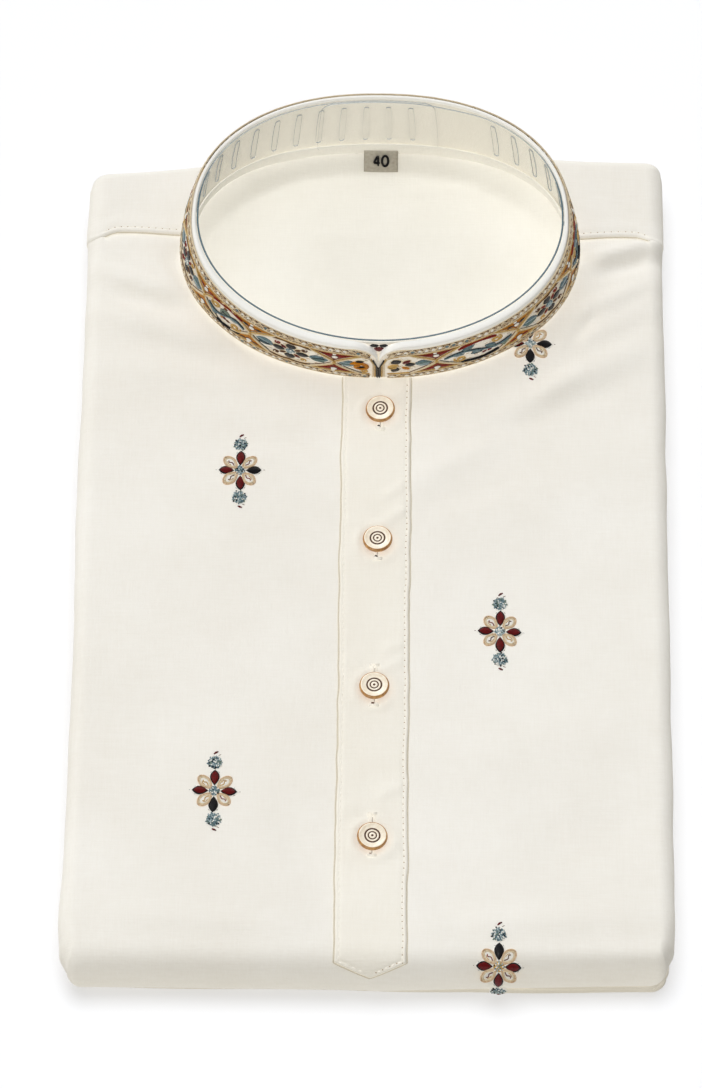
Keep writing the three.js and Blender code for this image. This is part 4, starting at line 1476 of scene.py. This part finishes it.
def seed_beads(pile, x, y, rx, ry, count, rng, lift):
    """Small beads packed into an oval, slate and pale by turns."""
    golden = math.pi * (3 - math.sqrt(5))
    for k in range(count):
        r = math.sqrt((k + 0.4) / count)
        a = k * golden + rng.uniform(-0.2, 0.2)
        size = 0.31 + rng.uniform(-0.07, 0.08)
        colour = rng.choice(["slate", "jet", "ice", "ice", "sage", "white", "white"])
        pile.bead(x + rx * r * math.cos(a), y + ry * r * math.sin(a), size * 1.25, size, 0.34, colour,
                  turn=a, sides=7, base=lift)


FLOWERS = [  # place, and the stones' threads from the top clockwise
    (-51.4, 31.2, ("garnet", "jet", "garnet", "garnet")),
    (60.5, 89.6, ("garnet", "jet", "jet", "garnet")),
    (48.5, -38.4, ("garnet", "garnet", "garnet", "garnet")),
    (-57.8, -107.4, ("garnet", "garnet", "jet", "garnet")),
    (48, -177.6, ("jet", "garnet", "garnet", "garnet")),
]


def flower(index):
    """One scattered flower, less what would lie inside the collar."""
    x, y, colours = FLOWERS[index]
    names = ["white", "peach", "cream", "rust", "brown", "garnet", "jet", "slate", "ice", "sage", "gold"]
    pile = Pile(f"flower_{index + 1}_stitched", on_panel, names)
    flower_motif(pile, x, y, colours, 40 + index)
    pile.keep(lambda x, y, z: egg_measure(x, y, 0.6) > 1 or y < 0)
    return pile.build("flower", f"flower_{index + 1}")


def stitch_row(pile, path, pitch=2.7, holes=True):
    """Topstitching along a path: a thread between needle holes, with uneven bites. The holes are tan dots of
    painted shade.
    """
    rng = random.Random(len(path))
    walked, due = 0.0, pitch
    last_hole = path[0]
    for (a0, b0), (a1, b1) in zip(path, path[1:]):
        step = math.hypot(a1 - a0, b1 - b0)
        while walked + step >= due:
            t = (due - walked) / step
            hole = (mix(a0, a1, t), mix(b0, b1, t))
            bite = [[mix(a, b, part) for a, b in zip(last_hole, hole)] for part in (0.22, 0.51, 0.8)]
            pile.cord(bite, 0.17, "cotton", base=0.02, sides=5)
            if holes:
                # Each needle hole is a flat tan dot: painted shade.
                pile.bead(*hole, 0.34, 0.22, 0.05, "hole", sides=6)
            last_hole = hole
            due += pitch * rng.uniform(0.9, 1.1)
        walked += step


def placket_line(side, inside, end_inside, half, top, steps, ends):
    """A line down one side of the placket and along its pointed end, as far inside as given."""
    path = [(placket_edge(side, y) - side * inside, y) for y in between(top, ROLL_Y - TIP_CORNER, steps)]
    for t in between(*ends):
        x = PLACKET_X + side * half * t
        path.append((x, placket_end(x) + end_inside))
    return path


def placket_stitches():
    """Topstitching down both edges of the placket and round its point, with holes at the right, and a
    painted shadow line at the foot of each edge.
    """
    made = []
    for side, name, shade in ((1, "right", 0.2), (-1, "left", 0.27)):
        pile = Pile(f"placket_topstitch_{name}", on_placket, ["cotton", "hole", "shade"])
        line = placket_line(side, EDGE_STITCH, EDGE_STITCH, PLACKET_HALF - EDGE_STITCH,
                            PLACKET_TOP - 2, 260, (0.97, 0.02, 24))
        stitch_row(pile, line, holes=side > 0)
        # A shade-coloured cord just outside each edge: painted shadow of the turned edge.
        edge = placket_line(side, -0.15, -0.2, PLACKET_HALF, PLACKET_TOP - 1, 200, (0.98, 0.0, 20))
        pile.cord(edge, shade, "shade", base=-0.1, sides=6)
        made.append(pile.build("cloth"))
    return made


def yoke_stitches():
    """Topstitching along the yoke seam, on the yoke's side, and a painted shadow line along the seam under
    the yoke's edge.
    """
    pile = Pile("yoke_topstitch", lambda a, b, lift: (a, b, yoke_height(a, b) + lift),
                ["cotton", "hole", "shade"])
    for side in (-1, 1):
        stop = COLLAR_X + side * (BASE["half"] + 0.5)
        stitch_row(pile, [(x, seam_y(x) + YOKE_STITCH) for x in between(side * (FLAT_X + 1), stop, 40)])
        # Shade-coloured cords just in front of the seam: painted shadow under the yoke's folded edge.
        for start, radius in ((FLAT_X, 0.14), (FLAT_X - 4, 0.27)):
            seam = [(x, seam_y(x) - 0.35) for x in between(side * start, stop, 60)]
            pile.cord(seam, radius, "shade", base=-0.1)
    return pile.build("cloth")


# Embroidery of the collar, in millimetres along it from the front (+ to the right) and up it

BAND_ENDS = 3.4
LOW_BORDER = (0.9, 5.3)
HIGH_BORDER = (26.2, 31.0)
FIELD_LOW, FIELD_HIGH = 6.0, 25.4
FIELD_MIDDLE = 15.7
LENS_REACH = 10.5  # how far from a crossing the curved lines take to reach the rails
EYE = 2.75  # one eye of the braid
CROSSINGS = [22.5, 57, 91.5, 116, 150, 181, 214]
CROSSINGS += [RING - left for left in (180, 146, 112, 77, 52, 17)]
FIELDS = ["sprig", "flower"] * 6
TINTS = ["rust", "ochre", "ochre"] * 4 + ["rust"]
BAND_THREADS = ["white", "cream", "gold", "ochre", "rust", "garnet", "jet", "slate", "sage", "brown",
                "tan", "ice", "peach"]


def on_high_border(along, up, lift):
    """The upper border climbs to the collar's edge behind, where the lining doesn't lap over it."""
    behind = 1 - smooth(-0.5, 0.9, math.cos(ruler.angle(along)))
    return on_band(along, up + 2.5 * behind, lift + 0.35 * behind)


def rail(pile, up, radius, thread_name, start=BAND_ENDS, stop=RING - BAND_ENDS):
    """A cord that runs along the collar at one height."""
    rng = random.Random(round(up * 10))
    path = [(a, up + rng.uniform(-0.07, 0.07)) for a in between(start, stop, round((stop - start) / 2.2))]
    pile.cord(path, radius, thread_name, sides=6)


def braid(name, place, low, high, seed):
    """A border of two crossing cords with a pale stone in every eye, between rails."""
    pile = Pile(name, place, BAND_THREADS)
    rng = random.Random(seed)
    middle, swing = (low + high) / 2, (high - low) / 2 - 0.75
    start, stop = BAND_ENDS + 0.4, RING - BAND_ENDS - 0.4
    eyes = round((stop - start) / EYE)
    for phase, colour in ((0.0, "tan"), (math.pi, "cream")):
        path = []
        for k in range(eyes * 4 + 1):
            a = mix(start, stop, k / (eyes * 4))
            lean = 0.3 * wander(a / 7, seed, phase)
            path.append((a, middle + swing * math.sin(math.pi * k / 4 + phase) + lean))
        pile.cord(path, 0.3, colour, base=0.2, sides=6)
        pile.cord([(a + 0.5, b) for a, b in path], 0.25, "brown", base=0.15, sides=5)
    for k in range(eyes):
        a = mix(start, stop, (k + 0.5) / eyes)
        size = 1.0 + rng.uniform(-0.15, 0.25)
        colour = rng.choice(["white"] * 6 + ["cream", "gold", "tan", "slate"])
        pile.bead(a, middle + rng.uniform(-0.25, 0.25), 0.98 * size, swing * 0.78, 0.62, colour,
                  turn=rng.uniform(-0.7, 0.2), sides=9, base=0.1)
        for side in (-1, 1):
            pile.bead(a + EYE / 2 + rng.uniform(-0.35, 0.35), middle + side * swing * 0.9,
                      rng.uniform(0.45, 0.7), rng.uniform(0.4, 0.7), 0.4,
                      rng.choice(["white", "cream", "brown", "gold", "white", "jet"]), sides=6)
    for up, radius, colour in ((low, 0.34, "cream"), (low + 0.62, 0.26, "brown"),
                               (high - 0.62, 0.26, "brown"), (high, 0.34, "cream")):
        rail(pile, up, radius, colour)
    return pile.build("collar_embroidery")


def lens_line(a, side, above, inward=0.0):
    """The curved line from a crossing to a rail, moved in towards the triangle by inward."""
    sign = 1 if above else -1
    reach = FIELD_HIGH - FIELD_MIDDLE if above else FIELD_MIDDLE - FIELD_LOW
    path = []
    for t in between(0, 1, 9):
        along = side * (LENS_REACH * t - inward * (0.55 + 0.3 * t))
        path.append((a + along, FIELD_MIDDLE + sign * (reach * t**0.82 + inward * (1 - t))))
    return path


def bowtie(pile, a, tint, rng):
    """A crossing: the tips of two pointed fields, with a pointed patch above and one below."""
    for above in (True, False):
        lean = 1 if above else -1
        edge = FIELD_HIGH - 0.1 if above else FIELD_LOW + 0.1
        for inward, colour, rise, base in ((0.9, "jet", 0.26, 0.0), (1.5, tint, 0.44, 0.06)):
            right, left = lens_line(a, 1, above, inward), lens_line(a, -1, above, inward)
            rim = edge - lean * (inward - 0.9)
            outline = left[::-1][:-1] + right + [(a + x, rim) for x in (4, 0, -4)]
            if inward > 1:
                outline = [(x, min(y, rim) if above else max(y, rim)) for x, y in outline]
            pile.dome(outline, rise, colour, math.pi / 2 if above else 0.3, base=base,
                      rings=(1.0, 0.9, 0.6, 0.3))
        up = mix(FIELD_MIDDLE, edge, 0.66)
        dark = rng.choice(["jet", "brown", "rust"])
        for away, turn in ((-4.4, -0.35 * lean), (4.4, math.pi + 0.35 * lean)):
            pile.dome(almond(a + away, mix(up, edge, 0.45), turn, 0, 3.6, 0.75), 0.2, dark, base=0.46)
        pile.bead(a, up + lean * 0.2, 1.75, 1.7, 0.22, "brown", sides=12, base=0.46)
        pile.bead(a, up + lean * 0.2, 1.3, 1.3, 0.5, "white", sides=12, base=0.5)
        pile.bead(a - 0.3, up + lean * 2.6, 0.8, 0.7, 0.3, "white", sides=8, base=0.46)
        for side in (-1, 1):
            pile.cord(lens_line(a, side, above, 0.75), 0.3, "gold", 0.2, 6)
            pile.cord(lens_line(a, side, above, -0.1), 0.45, "cream", 0.1, 6)
            pile.cord(lens_line(a, side, above, -0.8), 0.16, "jet" if side > 0 else "brown", 0.1, 5)
    pile.bead(a, FIELD_MIDDLE, 1.1, 1.1, 0.6, "gold", sides=10, base=0.3)


def leaf(pile, a, b, turn, length, half, thread_name, rng, veins=3):
    """A leaf on a dark backing, with pale veins down it."""
    backing = almond(a, b, turn, -0.35, length + 0.5, half + 0.4)
    pile.dome(backing, 0.22, "jet", turn, rings=(1.0, 0.8, 0.4))
    pile.dome(almond(a, b, turn, 0.0, length, half), 0.42, thread_name, turn + 0.6, base=0.12)
    for k in range(veins):
        v = (k - (veins - 1) / 2) * half * 0.55
        bend = rng.uniform(-0.2, 0.2)
        path = [turned(a, b, turn, length * t, v * (1 - t * t) + bend * t) for t in (0.16, 0.45, 0.82)]
        pile.cord(curve(path, 3), 0.17, rng.choice(["jet", "ice", "ice", "sage"]), base=0.46, sides=5)


def petal(pile, a, b, turn, inner, outer, half, thread_name="jet"):
    """A stone-like petal with a pale cord round it."""
    pile.dome(almond(a, b, turn, inner - 0.5, outer + 0.65, half + 0.6), 0.26, "cream", turn,
              rings=(1.0, 0.85, 0.5))
    pile.dome(almond(a, b, turn, inner, outer, half), 0.5, thread_name, turn, base=0.16)


def spiral(pile, a, b, radius, turns, start, thread_name, width=0.42, way=1):
    """A cord that curls inward."""
    path = []
    for t in between(0, 1, round(16 * turns)):
        r = mix(radius, radius * 0.2, t)
        angle = start + way * TURN * turns * t
        path.append((a + r * 1.1 * math.cos(angle), b + r * math.sin(angle)))
    pile.cord(path, width, thread_name, base=0.2, sides=6)


def flower_field(pile, a0, a1, rng):
    """A black-petalled flower in the middle of a pointed field, with a leaf towards each tip."""
    c, m = (a0 + a1) / 2 + rng.uniform(-0.6, 0.6), FIELD_MIDDLE
    leaf(pile, a0 + 2.4, m, rng.uniform(-0.1, 0.1), 8.0, 3.2, rng.choice(["slate", "slate", "sage"]), rng)
    leaf(pile, a1 - 2.4, m, math.pi + rng.uniform(-0.1, 0.1), 8.0, 3.2, "slate", rng)
    tilt = rng.uniform(-0.2, 0.2)
    for k in range(4):
        petal(pile, c, m, tilt + k * math.pi / 2, 2.1, 7.7, 2.25)
    for k in range(4):
        turn = tilt + math.pi / 4 + k * math.pi / 2
        petal(pile, c, m, turn, 2.4, 6.0, 0.85, rng.choice(["garnet", "rust", "brown", "rust"]))
        tip = (c + 7.6 * math.cos(turn), m + 7.2 * math.sin(turn))
        spiral(pile, *tip, 1.3, 1.1, turn, rng.choice(["gold", "brown", "rust"]), 0.26, 1 if k % 2 else -1)
    pile.bead(c, m, 2.0, 2.0, 0.4, "slate", sides=14, base=0.2)
    for k in range(9):
        turn = TURN * k / 9
        pile.bead(c + 1.3 * math.cos(turn), m + 1.3 * math.sin(turn), 0.5, 0.46, 0.4,
                  rng.choice(["slate", "ice", "ice", "white"]), sides=7, base=0.4)
    pile.bead(c, m, 0.8, 0.75, 0.62, "ice", sides=8, base=0.4)
    for side in (-1, 1):
        bows = ((-8.5, -0.6), (-3.4, 0.5), (0, -0.3), (3.4, 0.5), (8.5, -0.6))
        path = curve([(c + away, m + side * (8.6 + out)) for away, out in bows], 5)
        pile.cord(path, 0.4, "brown", base=0.05, sides=6)
        pile.cord([(a, b - side * 0.9) for a, b in path], 0.26, "cream", base=0.05, sides=6)


def sprig_field(pile, a0, a1, rng):
    """A winding stem with leaves, buds and curls along a pointed field."""
    m, wide = FIELD_MIDDLE, a1 - a0
    swing = 2.9 if rng.random() < 0.5 else -2.9

    def at(t):
        return mix(a0 + 3, a1 - 3, t), m + swing * math.sin(TURN * t)

    stem = [at(t) for t in between(0, 1, 22)]
    pile.cord(stem, 0.4, "slate", base=0.25, sides=6)
    pile.cord([(a, b + 0.6) for a, b in stem], 0.2, "jet", base=0.25, sides=5)
    count = 6 if wide > 30 else 4
    for k in range(count):
        t = (k + 0.5) / count
        a, b = at(t)
        side = 1 if k % 2 else -1
        slope = math.atan2(swing * TURN * math.cos(TURN * t), wide - 6)
        turn = slope + side * rng.uniform(0.5, 0.9) + (math.pi if t > 0.5 else 0)
        leaf(pile, a, b, turn, rng.uniform(5.4, 6.8), rng.uniform(1.5, 2.0),
             rng.choice(["slate", "sage", "slate", "slate"]), rng, veins=1)
    for t, side in ((0.27, 1), (0.72, -1)):
        a, b = mix(a0, a1, t), m - math.copysign(1, swing) * side * 3.6
        spiral(pile, a, b, 2.4, 1.4, rng.uniform(0, 3), "gold", 0.45, side)
        pile.bead(a, b, 0.9, 0.8, 0.5, rng.choice(["white", "garnet"]), sides=8, base=0.3)
    for k in range(7):
        a = mix(a0 + 5, a1 - 5, rng.random())
        b = m + rng.choice([-1, 1]) * rng.uniform(3.6, 6.6)
        pile.dome(almond(a, b, rng.uniform(0, 3), 0, 2.8, 0.9), 0.34,
                  rng.choice(["garnet", "rust", "ochre", "brown"]), rings=(1.0, 0.8, 0.4))
    middle = (a0 + a1) / 2
    for side in (-1, 1):
        bow = ((-8, -1.2), (0, 0.8), (8, -1.2))
        path = curve([(middle + away, m + side * (8.3 + out)) for away, out in bow], 8)
        pile.cord(path, 0.6, "jet" if side < 0 else "rust", base=0.05, sides=6)


def end_motifs(pile, rng):
    """The two short fields beside the collar's opening."""
    m = FIELD_MIDDLE
    for a, up, turn, inner, outer, half, colour in (
            (9.4, -0.5, 0.1, 0.6, 5.0, 2.1, "jet"), (8.0, 0.4, 1.9, 1.0, 6.6, 2.1, "jet"),
            (7.6, -1.6, -1.9, 1.0, 6.6, 1.7, "jet"), (8.4, 0.2, 0.85, 1.4, 6.0, 1.3, "garnet"),
            (8.2, -1.0, -0.9, 1.4, 6.0, 1.2, "ochre"), (RING - 9.4, 2.8, 0.5, 0.4, 4.4, 1.2, "jet")):
        petal(pile, a, m + up, turn, inner, outer, half, colour)
    for a, up, radius, turns, start, colour, width, way in (
            (5.6, -1.2, 2.2, 1.4, 0.4, "gold", 0.42, 1),
            (RING - 7.2, -0.6, 3.8, 1.2, 2.6, "ochre", 0.7, -1),
            (RING - 7.2, -0.6, 2.4, 1.1, 2.6, "jet", 0.4, -1),
            (RING - 5.0, -6.5, 1.6, 1.2, 1.2, "gold", 0.3, 1)):
        spiral(pile, a, m + up, radius, turns, start, colour, width, way)
    leaf(pile, 20.8, m, math.pi, 7.0, 3.0, "slate", rng)
    leaf(pile, RING - 15.4, m, 0.05, 7.4, 3.0, "slate", rng)
    for side in (1, -1):
        for away, radius, colour in ((0.42, 0.5, "jet"), (1.3, 0.34, "gold"), (2.1, 0.3, "cream")):
            a = away if side > 0 else RING - away
            bend = [(a + side * 1.6 * smooth(19, 27, up), up) for up in between(1.2, 27, 18)]
            pile.cord(bend, radius, colour, sides=6)


def ground_stitches(pile, a0, a1, rng):
    """Small pale stitches that fill the ground."""
    for _ in range(round((a1 - a0) * 3.4)):
        a, b = rng.uniform(a0, a1), rng.uniform(FIELD_LOW + 0.3, FIELD_HIGH - 0.3)
        turn = rng.uniform(-0.5, 0.5)
        stitch = [turned(a, b, turn, reach, 0) for reach in (-0.7, 0.7)]
        pile.cord(stitch, 0.2, rng.choice(["white", "white", "cream", "tan"]), base=-0.05, sides=4)


def band_half(name, fields, seed):
    """Half of the collar's middle band, as the indexes of its pointed fields."""
    pile = Pile(name, on_band, BAND_THREADS)
    rng = random.Random(seed)
    for index in fields:
        a0, a1 = CROSSINGS[index], CROSSINGS[index + 1]
        ground_stitches(pile, a0, a1, rng)
        (flower_field if FIELDS[index] == "flower" else sprig_field)(pile, a0, a1, rng)
        bowtie(pile, a1, TINTS[index + 1], rng)
    return pile, rng


def collar_embroidery():
    """Two braided borders and the two halves of the band between them."""
    made = [braid("collar_braid_low", on_band, *LOW_BORDER, 5),
            braid("collar_braid_high", on_high_border, *HIGH_BORDER, 8)]
    right, rng = band_half("collar_motifs_right", range(0, 6), 21)
    bowtie(right, CROSSINGS[0], TINTS[0], rng)
    ground_stitches(right, 4, CROSSINGS[0], rng)
    end_motifs(right, rng)
    left, rng = band_half("collar_motifs_left", range(6, 12), 22)
    ground_stitches(left, CROSSINGS[-1], RING - 4, rng)
    for half, ends in ((right, {"stop": RING / 2}), (left, {"start": RING / 2})):
        for up in (FIELD_LOW, FIELD_HIGH):
            rail(half, up, 0.34, "gold", **ends)
        made.append(half.build("collar_embroidery"))
    return made


def tab_petal():
    """Two dark petals over a red one on the tab behind the opening."""
    def on_tab(a, b, lift):
        angle, share = front_angle(a), b / BAND_HEIGHT
        return on_collar(angle, share, wall_inset(angle, share, TAB_INSET) - lift)

    pile = Pile("collar_tab_petal", on_tab, BAND_THREADS)
    petal(pile, 0.2, 24.2, math.pi / 2, 0.2, 5.6, 2.5, "garnet")
    petal(pile, -0.9, 28.6, math.pi * 0.62, 0.0, 4.2, 2.0)
    petal(pile, 1.3, 28.6, math.pi * 0.38, 0.0, 4.2, 2.0)
    return pile.build("collar_embroidery")


# All pieces


def main():
    layers = folded_layers()
    under = [layer.name for layer in layers[1:]] + ["ground"]
    front, yoke, placket = front_cloth(), yoke_cloth(), placket_cloth()
    flowers = [flower(index) for index in range(5)]
    yoke_stitches()
    holes = [buttonhole(index) for index in range(4)]
    placket_stitches() + holes
    for index in range(4):
        button(index)
    inside = back_inside()
    neck_binding()
    band = collar_band()
    collar_embroidery()
    collar_lining()
    collar_tab()
    tab_petal()
    clear_strip()
    strip_edge()
    size_tag()
    size_number()


# Staging

FLOOR_GLOW = 0.02
GROUND = {"half": 20.0, "z": -0.0004}  # metres
SKY = {"below": 1.0, "level": 0.46, "above": 0.34, "left": -0.05}
BOUNCE = (1.0, 0.97, 0.90)  # tint of the light that comes from the floor and from the sides
CAMERA = {"elevation": 60, "azimuth": 0.73, "distance": 2080, "lens": 179, "aim": (-8.39, 6.64, 12)}


def floor_material():
    """White paper that glows a little, so that it stays white."""
    material, tree, shader = new_material("white_paper", {
        "Roughness": 0.95, "Specular IOR Level": 0.0, "Emission Color": (1, 1, 1, 1),
        "Emission Strength": FLOOR_GLOW})
    tone = noise_value(tree, object_place(tree), 3.0, 2.0)
    paint(tree, shader, tone, (0.2, srgb(215, 216, 219)), (0.8, srgb(217, 218, 221)))
    return material


def stage():
    """The ground, which gives no light back to the cloth."""
    mesh = bpy.data.meshes.new("ground")
    corners = [(x * GROUND["half"], y * GROUND["half"], 0) for x, y in ((-1, -1), (1, -1), (1, 1), (-1, 1))]
    mesh.from_pydata(corners, [], [(0, 1, 2, 3)])
    mesh.materials.append(floor_material())
    ground = linked("ground", mesh)
    ground.location.z = GROUND["z"]
    ground.visible_diffuse = False


def facing(name, data, elevation, azimuth):
    """A light or camera that looks back from a direction, and that direction. The azimuth runs from
    the front towards the right."""
    obj = linked(name, data)
    e, a = math.radians(elevation), math.radians(azimuth)
    toward = Vector((math.sin(a) * math.cos(e), -math.cos(a) * math.cos(e), math.sin(e)))
    obj.rotation_euler = toward.to_track_quat("Z", "Y").to_euler()
    return obj, toward


def sun(name, elevation, azimuth, strength, shadow=False, tint=(1, 1, 1), spread=25):
    """Even light from one direction."""
    data = bpy.data.lights.new(name, "SUN")
    data.energy = strength * math.pi
    data.angle = math.radians(spread)
    data.use_shadow = shadow
    data.color = tint
    return facing(name, data, elevation, azimuth)[0]


def sky():
    """Soft studio light, warmer from below and the sides than from above, a little more from the right."""
    world = bpy.data.worlds.new("soft_white")
    world.use_nodes = True
    tree = world.node_tree
    direction = add_node(tree, "ShaderNodeTexCoord").outputs["Generated"]
    axes = add_node(tree, "ShaderNodeSeparateXYZ", {"Vector": direction}).outputs
    levels = ((0.0, "below", BOUNCE), (0.5, "level", BOUNCE), (1.0, "above", (1, 1, 1)))
    stops = [(position, (*[SKY[level] * c for c in tint], 1)) for position, level, tint in levels]
    height = weighted(tree, (axes["Z"], 0.5), (0.5, 1))
    lean = weighted(tree, (axes["X"], -SKY["left"]), (1.0, 1))
    background = tree.nodes["Background"]
    tree.links.new(ramp(tree, height, *stops), background.inputs["Color"])
    tree.links.new(lean, background.inputs["Strength"])
    bpy.context.scene.world = world


def lights():
    """Even studio light, and a sun for the ground alone that draws the soft shadow on it."""
    sky()
    sun("slant", 42, 194, 0.55)
    sun("overhead", 86, 180, 0.10)
    sun("front", 14, 330, 0.28, tint=BOUNCE)
    sun("shade", 70, 205, 0.06, shadow=True)
    under = sun("floor_shade", 82, 188, 0.46, shadow=True, spread=40)
    floor = bpy.data.collections.new("floor_only")
    floor.objects.link(bpy.data.objects["ground"])
    under.light_linking.receiver_collection = floor
    bpy.context.scene.view_settings.view_transform = "Standard"


def camera():
    """The photo's point of view."""
    data = bpy.data.cameras.new("photo_view")
    data.lens = CAMERA["lens"]
    data.sensor_width = 36
    data.clip_end = 10
    obj, toward = facing("photo_view", data, CAMERA["elevation"], CAMERA["azimuth"])
    obj.location = (Vector(CAMERA["aim"]) + toward * CAMERA["distance"]) * MM
    bpy.context.scene.camera = obj


stage()
main()
lights()
camera()
